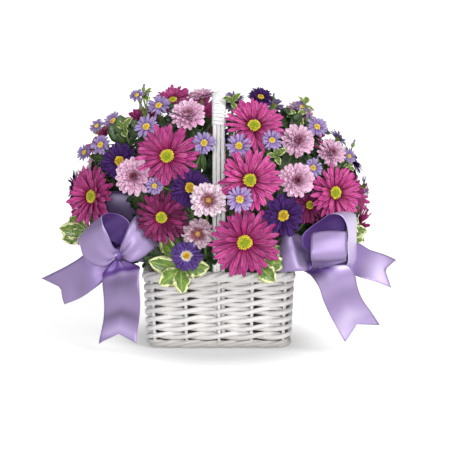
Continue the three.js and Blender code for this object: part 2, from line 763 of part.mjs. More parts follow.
/** The wedge that forks a tail's end. */
function forkTool(stations) {
  const { middle, across, face } = stations[stations.length - 1];
  const before = stations[stations.length - 2].middle;
  const along = middle.clone().sub(before).normalize();
  const thick = face.clone().setLength(RIBBON_THICKNESS * 6);
  const outside = middle.clone().addScaledVector(along, FORK_OVERRUN);
  const wide = across.clone().multiplyScalar(1 + FORK_OVERRUN / FORK_DEPTH);
  const point = middle.clone().addScaledVector(along, -FORK_DEPTH);
  const wedge = [outside.clone().add(wide), outside.clone().sub(wide), point];
  return loft([wedge.map((p) => p.clone().add(thick)), wedge.map((p) => p.clone().sub(thick))]);
}

/** A bow's pieces, each cut back from the ones before it. */
function bowPieces(name, { knot, pickFoot, loops, tails }) {
  const centre = seenAt(...knot);
  const ball = (g) =>
    solidOf(new THREE.IcosahedronGeometry(KNOT_RADIUS + g, 1).translate(centre.x, centre.y, centre.z));
  const foot = vec(...pickFoot);
  const toKnot = centre.clone().sub(foot).normalize();
  const pickTop = centre.clone().addScaledVector(toKnot, PICK_IN_KNOT - KNOT_RADIUS);
  const pick = (g) => rod(foot.clone().addScaledVector(toKnot, -g), pickTop, STEM_RADIUS + g);
  const pieces = [
    { name: `${name}_knot`, material: SATIN, solid: ball(0), room: ball(GAP) },
    { name: `${name}_pick`, material: PICK_WOOD, solid: pick(0), room: pick(GAP) },
  ];
  Object.entries(loops).forEach(([loop, shape]) => {
    const stations = ribbonStations(shape);
    pieces.push({
      name: `${name}_${loop}`,
      material: SATIN,
      solid: ribbonSolid(stations, 0),
      room: ribbonSolid(stations, GAP),
    });
  });
  Object.entries(tails).forEach(([tail, edges]) => {
    const stations = ribbonStations(edges);
    pieces.push({
      name: `${name}_${tail}`,
      material: SATIN,
      solid: ribbonSolid(stations, 0).subtract(forkTool(stations)),
      room: ribbonSolid(stations, GAP),
    });
  });
  return pieces.map((piece, i) => ({
    ...piece,
    solid: largest(cutBy(piece.solid, pieces.slice(0, i).map((p) => p.room))),
  }));
}

// ---------------------------------------------------------------- assembly

const group = new THREE.Group();

function add(name, solid, look) {
  const mesh = new THREE.Mesh(geometryOf(solid), look);
  mesh.name = name;
  group.add(mesh);
}

const plants = [
  ...stemPlants(FRONT, false),
  ...stemPlants(BACK, true),
  ...greenPlants(),
];
const bows = Object.entries(BOWS).flatMap(([name, shape]) => bowPieces(name, shape));
const handleRoom = handleSolid(GAP);

// basket
const stakeRooms = stakes(BASKET.stakeRadius + GAP, STAKE_TOP + GAP);
const plate = loft([basketLoop(0, FOOT_PROUD), basketLoop(BASE_TOP, FOOT_PROUD)]);
const foot = wallRing(BASE_TOP + GAP, UPSETT_TOP, -FOOT_PROUD, BASKET.wall);
const wall = wallRing(UPSETT_TOP + GAP, RIM_BOTTOM - GAP, WALL_INSET, BASKET.wall - WALL_INSET);
add('basket_base', joined([plate, ...stakes(BASKET.stakeRadius, STAKE_TOP)]), WICKER);
add('basket_foot', cutBy(foot, stakeRooms), WICKER);
add('basket_wall', cutBy(wall, stakeRooms), WICKER);
add('basket_rim', cutBy(rimSolid(), [...stakeRooms, handleRoom]), WICKER);
add('handle', handleSolid(0), WICKER);
add('liner', linerSolid(), LINER_PLASTIC);

// foam, with a hole for each stem and pick
const pickRooms = bows.filter((p) => p.name.endsWith('_pick')).map((p) => p.room);
const foamHoles = [...plants.map((p) => p.stemRoom), ...pickRooms];
add('floral_foam', largest(cutBy(foamSolid(), foamHoles)), FOAM_GREEN);

bows.forEach((piece) => add(piece.name, piece.solid, piece.material));

// plants: a head gives way to the handle, the ribbons, every other plant's stem and the heads before it
const fixedRooms = [handleRoom, ...bows.map((p) => p.room)];
plants.forEach((plant, i) => {
  const otherStems = plants.filter((other) => other !== plant).map((other) => other.stemRoom);
  const headsBefore = plants.slice(0, i).map((other) => other.topRoom);
  const top = cutBy(plant.top, [...fixedRooms, ...otherStems, ...headsBefore]);
  const stem = cutBy(plant.stem, [...pickRooms, ...plants.slice(0, i).map((other) => other.stemRoom)]);
  add(plant.name, largest(joined([top, stem])), plant.material);
});

export default group;
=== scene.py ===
"""A florist's arrangement: daisies, button chrysanthemums, asters and greenery stand in a woven
willow basket with an arched handle, and two satin bows trim its front corners."""

import math

import bpy
import numpy as np
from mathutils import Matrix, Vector


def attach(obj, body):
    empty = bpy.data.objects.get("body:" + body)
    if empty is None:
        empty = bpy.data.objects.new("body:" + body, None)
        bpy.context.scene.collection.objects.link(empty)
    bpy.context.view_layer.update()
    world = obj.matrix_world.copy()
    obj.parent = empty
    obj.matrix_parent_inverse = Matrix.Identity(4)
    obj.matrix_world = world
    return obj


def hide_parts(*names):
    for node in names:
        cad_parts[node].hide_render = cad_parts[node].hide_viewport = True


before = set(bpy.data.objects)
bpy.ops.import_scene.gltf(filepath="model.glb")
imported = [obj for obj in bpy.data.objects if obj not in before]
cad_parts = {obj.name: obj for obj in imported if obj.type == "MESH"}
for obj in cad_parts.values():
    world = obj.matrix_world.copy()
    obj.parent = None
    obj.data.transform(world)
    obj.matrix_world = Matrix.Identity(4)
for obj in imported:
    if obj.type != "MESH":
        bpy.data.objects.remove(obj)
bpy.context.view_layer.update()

# ------------------------------------------------------------------ sizes, in millimetres
# The row frame: +Z up, the front faces -Y, the origin is the middle of the basket's underside.

MM = 0.001

HALF_WIDTH = 76  # the basket's outline at its foot
HALF_DEPTH = 54
FLARE = 3  # how much further out it stands at the top
CORNER = 16
HEIGHT = 81
WALL = 7
STAKES = 14
STAKE_RADIUS = 1.9
STAKE_TOP = 79
STAKE_INSET = WALL / 2

FLOOR_MIDDLE = 2.7  # the height of the woven floor's middle
FLOOR_STICKS = 7
FLOOR_STICK_RADIUS = 1.6
LAST_STICK = 58  # how far from the middle the outer sticks lie
FLOOR_ROD_RADIUS = 1.75
FLOOR_ROD_PITCH = 4.1
FLOOR_ROD_SWING = 0.75  # how far a floor rod goes over a stick, and under the next one

WEAVER_RADIUS = 2.2
WEAVER_SIDES = 10
WEAVER_TALL = 1.16  # weavers lie pressed: taller than they are thick
WEAVER_SWING = 3.3  # how far a weaver passes in front of a stake, and behind the next one
WEAVER_RISE = 2.4  # how far two weavers part, one over the other, between stakes
ROW_PITCH = 8.8
FIRST_ROW = 13.6
ROWS = 7
ROD_STRAYS = 0.35  # how far a rod strays from its row, up or down
ROD_SWELLS = 0.06  # by what share its thickness changes
# A border's node, height and number of rods, how far they wind round its middle, how many turns
# they make on the way round, and a rod's radius.
BORDERS = {
    "braided_foot": ("basket_foot", 4.9, 3, 1.8, 8, 2.1),
    "braided_rim": ("basket_rim", 76.0, 4, 2.9, 9, 2.75),
}

HANDLE_FOOT = 9
HANDLE_TOP = 262
HANDLE_BEND = [(48, 140), (49, 190), (36, 238)]
HANDLE_INSIDE = 5  # how far the arch's centreline stands inside the wall
HANDLE_ROD = 2.15
BINDING_FROM = 232  # the arch is bound above this height
BINDING_PITCH = 4.2
BINDING_HALF = 2.12  # half the width of the split cane that binds it
BINDING_THICK = 0.3
BOUND_HALF_WIDTH = 7.0  # the bound rods' outline, a square with soft corners
BOUND_HALF_DEPTH = 4.9

STEM_RADIUS = 1.6
TWIG_RADIUS = 1.35
BUD_TWIG_RADIUS = 0.7
STEM_SEAT = 14  # a stem's foot stands this far out from the point that it aims at in the foam
FOAM_CLEAR = 96  # leaves keep above this height, clear of the foam
HANDLE_CLEAR = 11  # and this far from the middle, where the handle stands
HANDLE_ROOM = 16  # buds and sprigs keep this far from it
RIBBON_WIDTH = 38
RIBBON_THICKNESS = 0.35

# The dome that the blooms cover, and the eye that they are placed for.
DOME = np.array([150, 98, 112])
DOME_MIDDLE = np.array([0, 0, 150])
ELEVATION = math.radians(8)
DISTANCE = 1600
AIM = (6.5, 130)
PICTURE_PIXELS = 450
PIXEL = 1.05  # a pixel's size on the plane that touches the basket's foot
PICTURE_SIDE = PICTURE_PIXELS * PIXEL


# ------------------------------------------------------------------ places

def vec(*numbers):
    return np.array(numbers, float)


def unit(v):
    return v / np.linalg.norm(v, axis=-1, keepdims=True)


def between(first, second, share):
    return first + (second - first) * share


def smooth_step(low, high, value):
    share = np.clip((value - low) / (high - low), 0, 1)
    return share * share * (3 - 2 * share)


VIEW_UP = vec(0, math.sin(ELEVATION), math.cos(ELEVATION))
VIEW_BACK = vec(0, -math.cos(ELEVATION), math.sin(ELEVATION))


def on_picture(u, v):
    """The point at (u, v) on the plane that touches the basket's foot and faces the viewer."""
    return vec(u, -HALF_DEPTH, 0) + VIEW_UP * v


EYE = on_picture(*AIM) + VIEW_BACK * DISTANCE


def seen_at(u, v, y):
    """The point at depth y that is seen at (u, v) from the front."""
    ray = on_picture(u, v) - EYE
    return EYE + ray * (y - EYE[1]) / ray[1]


def on_dome(u, v, lift):
    """Where the line of sight through (u, v) meets the dome grown by lift, or passes nearest."""
    grown = DOME + lift
    eye = (EYE - DOME_MIDDLE) / grown
    ray = (on_picture(u, v) - EYE) / grown
    a, b = ray @ ray, eye @ ray
    inside = max(0, b * b - a * (eye @ eye - 1))
    return (eye + ray * (-b - math.sqrt(inside)) / a) * grown + DOME_MIDDLE


def dome_out(place):
    return unit((place - DOME_MIDDLE) / DOME**2)


def dome_share(place):
    """How far out a point is: 0 in the dome's middle and 1 on it."""
    return np.linalg.norm((place - DOME_MIDDLE) / DOME, axis=-1)


def curve_through(points, steps):
    """A smooth line through points, with this many steps from each to the next."""
    p = np.asarray(points, float)
    p = np.concatenate([[2 * p[0] - p[1]], p, [2 * p[-1] - p[-2]]])
    t = np.linspace(0, 1, steps, endpoint=False)[:, None]
    parts = []
    for a, b, c, d in zip(p, p[1:], p[2:], p[3:]):
        a, b, c, d = (x.reshape(1, -1) for x in (a, b, c, d))
        parts.append(0.5 * (2 * b + (c - a) * t + (2 * a - 5 * b + 4 * c - d) * t**2
                            + (3 * b - a - 3 * c + d) * t**3))
    line = np.concatenate([*parts, p[-2].reshape(1, -1)])
    return line.reshape(-1, *np.shape(points)[1:])


def bezier(a, b, c, d, steps):
    t = np.linspace(0, 1, steps + 1)[:, None]
    return a * (1 - t)**3 + 3 * b * t * (1 - t)**2 + 3 * c * t**2 * (1 - t) + d * t**3


def distance_along(line):
    steps = np.linalg.norm(np.diff(line, axis=0), axis=1)
    return np.concatenate([[0], np.cumsum(steps)])


# ------------------------------------------------------------------ shapes

class Stock:
    """Points and faces gathered for one piece, with numbers at each point that its finish reads.

    along and across place a point on its petal, leaf, ribbon or rod. tone is one draw for each,
    plus painted shade on blooms that sit in shadow and, below 0, painted light on the most lit
    ones; on a ribbon it is painted shade, and below 0 painted light. part is how near its bloom's
    heart a petal is, or 2 in a bloom with a white heart, and how bright a ribbon's side is, which
    near a knot is painted shade."""

    MARKS = ("along", "across", "tone", "part")

    def __init__(self):
        self.points, self.quads, self.caps, self.marks = [], [], [], []
        self.count = 0

    def add(self, grid, closed=False, **marks):
        """Adds (rows, ring, 3) points as a skin, or (pieces, rows, ring, 3) points as several.

        A closed skin's last row joins its first; any other has a flat cap at each end."""
        grid = grid if grid.ndim == 4 else grid[None]
        pieces, rows, ring, _ = grid.shape
        index = self.count + np.arange(pieces * rows * ring).reshape(pieces, rows, ring)
        right = np.roll(index, -1, axis=2)
        ahead, right_ahead = np.roll(index, -1, axis=1), np.roll(right, -1, axis=1)
        quads = np.stack([index, right, right_ahead, ahead], axis=-1)
        if not closed:
            quads = quads[:, :-1]
            self.caps += index[:, 0, ::-1].tolist() + index[:, -1].tolist()
        self.quads += quads.reshape(-1, 4).tolist()
        shape = grid.shape[:3]
        values = [np.broadcast_to(np.asarray(marks.get(m, 0), float), shape) for m in self.MARKS]
        self.marks.append(np.stack(values, axis=-1).reshape(-1, len(self.MARKS)))
        self.points.append(grid.reshape(-1, 3))
        self.count += index.size

    def add_tube(self, line, radius, sides, tone):
        """Adds a round rod, wire or stem along a line."""
        self.add(tube(line, radius, sides), **tube_marks(line, sides, tone))

    def piece(self, name, finish, replaces=(), slot=None):
        """Turns the stock into a piece that rides on the basket."""
        mesh = bpy.data.meshes.new(name)
        points = np.concatenate(self.points) * MM
        mesh.from_pydata(points.tolist(), [], self.quads + self.caps)
        marks = np.concatenate(self.marks).astype(np.float32)
        for i, mark in enumerate(self.MARKS):
            layer = mesh.attributes.new(mark, "FLOAT", "POINT")
            layer.data.foreach_set("value", np.ascontiguousarray(marks[:, i]))
        mesh.shade_smooth()
        mesh.materials.append(finish.material)
        made = bpy.data.objects.new(name, mesh)
        bpy.context.scene.collection.objects.link(made)
        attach(made, "root")
        if replaces:
            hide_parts(*replaces)
        return made


def carried(line):
    """Two directions square to a line at each point, carried along it without twist."""
    forward = unit(np.gradient(line, axis=0))
    side = unit(np.cross(forward[0], vec(0.3, 0.9, 0.2)))
    sides = []
    for direction in forward:
        side = unit(side - direction * (side @ direction))
        sides.append(side)
    sides = np.array(sides)
    return sides, np.cross(forward, sides)


def tube(line, radius, sides):
    """A round skin along a line; radius is one number, or one for each point."""
    first, second = carried(line)
    turn = np.linspace(0, 2 * math.pi, sides, endpoint=False)
    ring = (first[:, None] * np.cos(turn)[None, :, None]
            + second[:, None] * np.sin(turn)[None, :, None])
    radius = np.broadcast_to(radius, len(line))
    return line[:, None] + ring * radius[:, None, None]


def tube_marks(line, sides, tone):
    return {
        "along": distance_along(line)[:, None],
        "across": np.linspace(0, 1, sides, endpoint=False)[None, :],
        "tone": tone,
    }


def turned(profile, sides):
    """A skin turned round +Z from [radius, height] places, from the bottom up."""
    radius, height = np.array(profile, float).T
    turn = np.linspace(0, 2 * math.pi, sides, endpoint=False)
    x = radius[:, None] * np.cos(turn)
    y = radius[:, None] * np.sin(turn)
    return np.stack([x, y, np.broadcast_to(height[:, None], x.shape)], axis=-1)


# How wide a petal or leaf is at shares of its length.
OUTLINES = {
    "petal": [(0, 0.34), (0.12, 0.5), (0.3, 0.76), (0.52, 0.95), (0.7, 1), (0.84, 0.9),
              (0.93, 0.68), (0.98, 0.42), (1, 0.16)],
    "spoon": [(0, 0.4), (0.15, 0.55), (0.35, 0.78), (0.6, 1), (0.8, 1), (0.92, 0.78), (1, 0.3)],
    "strap": [(0, 0.5), (0.2, 0.75), (0.5, 1), (0.8, 0.94), (0.94, 0.6), (1, 0.2)],
    "oval leaf": [(0, 0.1), (0.06, 0.22), (0.16, 0.56), (0.3, 0.86), (0.46, 1), (0.62, 0.95),
                  (0.76, 0.77), (0.88, 0.5), (0.96, 0.22), (1, 0.06)],
    "lance leaf": [(0, 0.2), (0.15, 0.5), (0.35, 0.9), (0.55, 1), (0.75, 0.75), (0.9, 0.38),
                   (1, 0.08)],
    "lobed leaf": [(0, 0.08), (0.12, 0.14), (0.2, 0.42), (0.27, 0.74), (0.33, 0.6), (0.4, 0.88),
                   (0.48, 1), (0.54, 0.76), (0.6, 0.86), (0.7, 0.92), (0.76, 0.62), (0.84, 0.6),
                   (0.92, 0.36), (0.97, 0.16), (1, 0.05)],
}
# A blade's ring of points, as [place across, side]: over the top and back underneath.
BLADE_RING = np.array([(-1, 0), (-0.55, 1), (0, 1), (0.55, 1),
                       (1, 0), (0.55, -1), (0, -1), (-0.55, -1)], float)


def blades(count, outline_name, length, width, rise, curl, cup, *, thick, start=0, height=0,
           fold=0, wave=0):
    """Petals or leaves that run along +Y with their faces up: (count, rows, ring, 3) points.

    rise is the slope that a blade leaves at, and curl how much that changes by its tip, in
    degrees; cup lifts its edges in a curve, fold in a V, and wave in ripples."""
    share, wide = np.array(OUTLINES[outline_name]).T
    across, side = BLADE_RING.T
    length, width, rise, curl = (np.broadcast_to(np.asarray(x, float), count)[:, None]
                                 for x in (length, width, rise, curl))
    slope = np.radians(rise + curl * share)
    middle = (slope[:, 1:] + slope[:, :-1]) / 2
    step = np.diff(share) * length
    out = start + np.concatenate([np.zeros((count, 1)), np.cumsum(np.cos(middle) * step, 1)], 1)
    up = height + np.concatenate([np.zeros((count, 1)), np.cumsum(np.sin(middle) * step, 1)], 1)
    half = width / 2 * wide
    edge = np.abs(across)
    ripple = wave * np.sin(share * 17 + np.arange(count)[:, None] * 2.1)[:, :, None] * edge**2
    lift = half[:, :, None] * (cup * across**2 + fold * edge + ripple)
    lift = lift + side * thick / 2 * (1 - 0.6 * share)[None, :, None]
    x = half[:, :, None] * across
    y = out[:, :, None] - np.sin(slope)[:, :, None] * lift
    z = up[:, :, None] + np.cos(slope)[:, :, None] * lift
    return np.stack([x, y, z], axis=-1)


def blade_marks(outline_name, tone, part=0):
    share = np.array(OUTLINES[outline_name])[:, 0]
    tone, part = (np.asarray(x, float).reshape(-1, 1, 1) for x in (tone, part))
    return {"along": share[None, :, None], "across": BLADE_RING[:, 0], "tone": tone, "part": part}


def spun(grids, turns):
    """Turns each of several grids about +Z by its own angle, in radians."""
    cos, sin = (f(turns)[:, None, None] for f in (np.cos, np.sin))
    x, y, z = np.moveaxis(grids, -1, 0)
    return np.stack([x * cos - y * sin, x * sin + y * cos, z], axis=-1)


def facing_frame(facing):
    """Three columns: two directions across, and the facing direction for +Z."""
    side = unit(np.cross(vec(0.05, 0, 1), facing))
    return np.stack([side, np.cross(facing, side), facing], axis=1)


def set_in(grid, columns, place):
    return grid @ columns.T + place


# ------------------------------------------------------------------ finishes

class Wire:
    """A shader socket that arithmetic can be written on."""

    def __init__(self, tree, socket):
        self.tree, self.socket = tree, socket

    def math(self, operation, *values):
        inputs = dict(enumerate((self, *values)))
        return self.tree.node("ShaderNodeMath", {"operation": operation}, inputs)

    def __add__(self, other):
        return self.math("ADD", other)

    __radd__ = __add__

    def __sub__(self, other):
        return self.math("SUBTRACT", other)

    def __rsub__(self, other):
        return self * -1 + other

    def __mul__(self, other):
        return self.math("MULTIPLY", other)

    __rmul__ = __mul__

    def __pow__(self, power):
        return self.math("POWER", power)

    def size(self):
        return self.math("ABSOLUTE")

    def sine(self):
        return self.math("SINE")

    def steps(self, low, high):
        """0 below low, 1 above high and smooth between."""
        return self.tree.node("ShaderNodeMapRange", {"interpolation_type": "SMOOTHSTEP"},
                              {"Value": self, "From Min": low, "From Max": high})


def paint(code):
    """A colour written as on a screen, as the light that it stands for."""
    shares = [int(code[i:i + 2], 16) / 255 for i in (0, 2, 4)]
    return (*(s / 12.92 if s <= 0.04045 else ((s + 0.055) / 1.055)**2.4 for s in shares), 1)


class Nodes:
    """A node tree that nodes are added to by type."""

    def __init__(self, tree):
        self.tree = tree

    def node(self, kind, settings=None, inputs=None, output=0):
        """Makes a node: its settings first, then what its sockets hold or are linked to."""
        made = self.tree.nodes.new(kind)
        for key, value in (settings or {}).items():
            if key == "stops":
                ramp = made.color_ramp
                while len(ramp.elements) < len(value):
                    ramp.elements.new(1)
                for element, (place, colour) in zip(ramp.elements, value):
                    element.position, element.color = place, colour
            else:
                setattr(made, key, value)
        for key, value in (inputs or {}).items():
            self.feed(made.inputs[key], value)
        return Wire(self, made.outputs[output])

    def feed(self, socket, value):
        if isinstance(value, Wire):
            self.tree.links.new(value.socket, socket)
        else:
            socket.default_value = value


class Finish(Nodes):
    """A surface's material, built from nodes."""

    def __init__(self, name):
        self.material = bpy.data.materials.new(name)
        self.material.use_nodes = True
        super().__init__(self.material.node_tree)
        self.shader = self.tree.nodes["Principled BSDF"]

    def mark(self, name):
        return self.node("ShaderNodeAttribute", {"attribute_name": name}, output="Fac")

    def at(self, x, y, z):
        return self.node("ShaderNodeCombineXYZ", inputs={0: x, 1: y, 2: z})

    def place(self):
        return self.node("ShaderNodeTexCoord", output="Object")

    def noise(self, vector, scale, detail, roughness=0.5):
        return self.node("ShaderNodeTexNoise", inputs={
            "Vector": vector, "Scale": scale, "Detail": detail, "Roughness": roughness})

    def ramp(self, share, *stops):
        return self.node("ShaderNodeValToRGB", {"stops": stops}, {"Fac": share})

    def mix(self, share, first, second):
        return self.node("ShaderNodeMix", {"data_type": "RGBA"},
                         {0: share, 6: first, 7: second}, output=2)

    def surface(self, colour, roughness, bump, depth, **fixed):
        """Sets the shader: bump is a height, and depth how many millimetres it stands for."""
        self.feed(self.shader.inputs["Base Color"], colour)
        self.feed(self.shader.inputs["Roughness"], roughness)
        normal = self.node("ShaderNodeBump", inputs={"Height": bump, "Distance": depth * MM})
        self.feed(self.shader.inputs["Normal"], normal)
        for name, value in fixed.items():
            self.feed(self.shader.inputs[name.replace("_", " ")], value)
        return self


def painted_willow(name, paler, darker):
    """White paint over willow rods: it shows their grain, and is thin and warmer in places. It is
    greyer near the table: painted shade where the basket stands on the floor."""
    f = Finish(name)
    along, across, tone = f.mark("along"), f.mark("across"), f.mark("tone")
    round_rod = (across * 6.283).sine()  # across runs once round a rod
    grain = f.noise(f.at(along * 0.06, round_rod * 2.2, tone * 40), 3.0, 4.0, 0.6)
    blotch = f.noise(f.place(), 90.0, 3.0)
    height = f.node("ShaderNodeSeparateXYZ", inputs={0: f.place()}, output="Z")
    white = f.mix(tone, paint(paler), paint(darker))
    worn = f.mix(grain.steps(0.62, 0.82) * 0.5, white, paint("cdc6bc"))
    colour = f.mix(blotch.steps(0.55, 0.8) * 0.3, worn, paint("dad6d0"))
    # Painted shade: the paint darkens over the lowest 16 mm, where the basket meets the floor.
    colour = f.mix(1 - height.steps(0.003, 0.016), colour, paint("aeaaa6"))
    return f.surface(colour, 0.42 + grain * 0.25, grain + blotch * 0.4, 0.35)


def petal_finish(name, base, body, tip, streak, streaks, pale_edge, heart=None,
                 white_hearts=False):
    """Petals: base to tip colours along them, and streaks and fine ribs that run their length."""
    f = Finish(name)
    along, across, tone, part = (f.mark(m) for m in Stock.MARKS)
    lengthwise = f.noise(f.at(across * 1.6 + tone * 57, along * 0.5, tone * 31), 3.4, 3.0, 0.65)
    patch = f.noise(f.place(), 140.0, 2.0)
    flesh = f.ramp(along + (tone - 0.5) * 0.2 + (patch - 0.5) * 0.3, (0.05, paint(base)),
                   (0.4, paint(body)), (1.0, paint(tip)))
    if heart:  # petals near the heart are another colour
        flesh = f.mix(part.steps(0.35, 1.0), flesh, paint(heart))
    streaked = f.mix(lengthwise.steps(0.45, 0.7) * along.steps(0.15, 0.6) * streaks, flesh,
                     paint(streak))
    edged = f.mix(across.size() ** 4 * along.steps(0.3, 0.8) * pale_edge, streaked, paint(streak))
    # tone holds each petal's random draw plus its bloom's painted shade (below 0, painted light):
    # more base colour is mixed in where it is higher.
    shaded = f.mix(tone * 0.34 + patch.steps(0.45, 0.8) * 0.15, edged, paint(base))
    if white_hearts:  # a bloom whose part is 2 is paler, with a white ring round the eye
        marked = (part - 1.0).steps(0.1, 0.6)
        shaded = f.mix(marked * 0.5, shaded, paint("7656ae"))
        shaded = f.mix(marked * (1 - along.steps(0.27, 0.44)), shaded, paint("e9ddf0"))
    ribs = (across * 11).sine() * 0.5 + lengthwise
    return f.surface(shaded, 0.5 + lengthwise * 0.15, ribs, 0.35, Specular_IOR_Level=0.2)


def eye_finish(name, middle, ring, deep):
    """A bloom's eye: florets that are greener in the middle and full of pollen round it; deep is
    painted shade at each floret's foot, between the florets.
    """
    f = Finish(name)
    out, up, tone = f.mark("along"), f.mark("across"), f.mark("tone")
    speckle = f.noise(f.place(), 900.0, 2.0)
    colour = f.ramp(out + (tone - 0.5) * 0.25, (0.0, paint(middle)), (0.45, paint(middle)),
                    (0.75, paint(ring)), (1.0, paint(ring)))
    # Painted shade: each floret darkens to the deep colour towards its foot.
    lit = f.mix(up.steps(0.05, 0.75), paint(deep), colour)
    dusty = f.mix(speckle.steps(0.5, 0.75) * 0.4, lit, paint(ring))
    return f.surface(dusty, 0.6 + speckle * 0.2, speckle, 0.2, Specular_IOR_Level=0.3)


def leaf_finish(name, dark, light, vein, margin=None, gloss=0.42):
    """Leaves with a midrib and side veins; margin is the colour of a variegated leaf's edge."""
    f = Finish(name)
    along, across, tone = f.mark("along"), f.mark("across"), f.mark("tone")
    cells = f.noise(f.place(), 260.0, 3.0)
    cloud = f.noise(f.at(across + tone * 23, along * 2.2, tone * 17), 2.4, 2.0)
    green = f.mix(cloud.steps(0.35, 0.65) * 0.75 + tone * 0.25, paint(dark), paint(light))
    midrib = 1 - across.size().steps(0.02, 0.12)
    side_veins = ((along * 46 - across.size() * 16).sine()).steps(0.8, 1.0)
    veins = midrib.math("MAXIMUM", side_veins * 0.6)
    colour = f.mix(veins * 0.55, green, paint(vein))
    if margin:
        rim = across.size() + along ** 6 * 0.6 + (cloud - 0.5) * 0.9
        colour = f.mix(rim.steps(0.66, 0.8), colour, paint(margin))
    height = cells * 0.4 - veins * 0.8
    return f.surface(colour, gloss + cells * 0.2, height, 0.4, Coat_Weight=0.08)


def stem_finish():
    f = Finish("green_stem")
    along, across, tone = f.mark("along"), f.mark("across"), f.mark("tone")
    ridges = f.noise(f.at(along * 0.02, across * 9, tone * 19), 3.0, 3.0)
    hairs = f.noise(f.place(), 700.0, 2.0)
    colour = f.mix(ridges.steps(0.3, 0.7), paint("3f5a26"), paint("7f9a48"))
    colour = f.mix(hairs.steps(0.55, 0.8) * 0.3, colour, paint("a9b97a"))
    return f.surface(colour, 0.55 + hairs * 0.15, ridges + hairs * 0.3, 0.3)


def satin_finish():
    """Lavender satin: bright and smooth on its face, duller and deeper on its back."""
    f = Finish("lavender_satin")
    along, across, shade, part = (f.mark(m) for m in Stock.MARKS)
    threads = f.noise(f.at(across * 90, along * 0.04, 0.0), 3.0, 2.0)
    cross_threads = f.noise(f.at(across * 1.2, along * 2.6, 3.0), 3.0, 2.0)
    cloud = f.noise(f.place(), 28.0, 2.0)
    face = f.mix(threads * 0.4 + cloud * 0.3, paint("947eae"), paint("826d9c"))
    back = f.mix(threads * 0.4, paint("693f98"), paint("573386"))
    # shade is painted shade: it darkens the satin towards deep purple
    colour = f.mix(shade, f.mix(part, back, face), paint("28123c"))
    colour = f.mix(0 - shade, colour, paint("d8cbe8"))  # below 0, shade is painted light: it makes the satin paler
    selvedge = across.size().steps(0.95, 0.985)
    colour = f.mix(selvedge * 0.3, colour, paint("bfaee0"))
    roughness = 0.48 - part * 0.04 + threads * 0.06
    weave = threads * 0.6 + cross_threads * 0.4 + selvedge * 1.2
    return f.surface(colour, roughness, weave, 0.05, Specular_IOR_Level=0.7, Metallic=0.45,
                     Coat_Weight=0.5, Coat_Roughness=0.45, Coat_IOR=1.7)


def foam_finish():
    f = Finish("wet_floral_foam")
    pores = f.node("ShaderNodeTexVoronoi", {"feature": "F1"},
                   {"Vector": f.place(), "Scale": 900.0})
    damp = f.noise(f.place(), 35.0, 3.0)
    colour = f.mix(damp.steps(0.35, 0.7), paint("2f5233"), paint("4d7546"))
    colour = f.mix(pores.steps(0.1, 0.5), paint("22402a"), colour)
    return f.surface(colour, 0.85 - damp * 0.25, pores, 0.6)


def tray_finish():
    f = Finish("green_tray_plastic")
    grain = f.noise(f.place(), 420.0, 3.0)
    scuffs = f.noise(f.place(), 40.0, 5.0, 0.7)
    colour = f.mix(scuffs.steps(0.5, 0.75) * 0.5, paint("2a352b"), paint("434f42"))
    return f.surface(colour, 0.35 + grain * 0.2, grain, 0.08)


def pick_finish():
    f = Finish("stained_pick_wood")
    along, across = f.mark("along"), f.mark("across")
    grain = f.noise(f.at(along * 0.05, across * 12, 1.0), 3.0, 4.0, 0.6)
    colour = f.mix(grain.steps(0.35, 0.7), paint("4c6a35"), paint("8a9a5a"))
    return f.surface(colour, 0.7 + grain * 0.1, grain, 0.3)


def wire_finish():
    f = Finish("binding_wire")
    scratch = f.noise(f.place(), 600.0, 2.0)
    colour = f.mix(scratch, paint("8d9298"), paint("c4c8cc"))
    return f.surface(colour, 0.28 + scratch * 0.15, scratch, 0.05, Metallic=1.0)


WILLOW = painted_willow("painted_willow", "d9d6d5", "cac7c5")
# The handle's paint is paler than the basket's: painted light, since the handle stands in the
# blooms' shade.
HANDLE_PAINT_PALER_FOR_LIGHT = painted_willow("painted_handle_paler_for_light", "fdfcfc", "f6f4f4")
STEM = stem_finish()
SATIN = satin_finish()
PICK_WOOD = pick_finish()
BARE_WIRE = wire_finish()
PETALS = {
    "daisy": petal_finish("hot_pink_petals", "3a0120", "a20a5e", "cb2a8d", "f49ad2", 0.8, 0.4),
    "button": petal_finish("pale_pink_petals", "a8407e", "e292c6", "fad4ec", "fff4fc", 0.6,
                           0.55, heart="b02c5c"),
    "open button": petal_finish("blush_petals", "8a3458", "eebcdc", "fdeaf6", "ffffff", 0.5,
                                0.5, heart="a8566e"),
    "aster": petal_finish("violet_petals", "190528", "381258", "48206c", "6f4898", 0.45, 0.2,
                          heart="280c48", white_hearts=True),
    "lavender": petal_finish("lavender_petals", "6a4a94", "9a7ebc", "b8a4d6", "d8ccec", 0.5, 0.4),
}
EYES = {
    "daisy": eye_finish("green_yellow_eye", "8c9e20", "dcc838", "66781a"),
    "button": eye_finish("rose_eye", "7a2b42", "a85a6e", "521a2c"),
    "open button": eye_finish("tan_eye", "c8a45a", "8e5440", "5a2a34"),
    "aster": eye_finish("golden_eye", "a88a1e", "e3c237", "8a6216"),
    "lavender": eye_finish("yellow_eye", "c8a42a", "ecd65a", "a07c20"),
}
LEAVES = {
    "lobed leaf": leaf_finish("chrysanthemum_leaf", "10200c", "2b4519", "587238"),
    "lance leaf": leaf_finish("aster_leaf", "1b2f10", "405d22", "748f4c"),
    "oval leaf": leaf_finish("variegated_leaf", "33540f", "688820", "9cae54", margin="dcdfa6",
                             gloss=0.4),
}


# ------------------------------------------------------------------ basket

def flare_at(z):
    return FLARE * z / HEIGHT


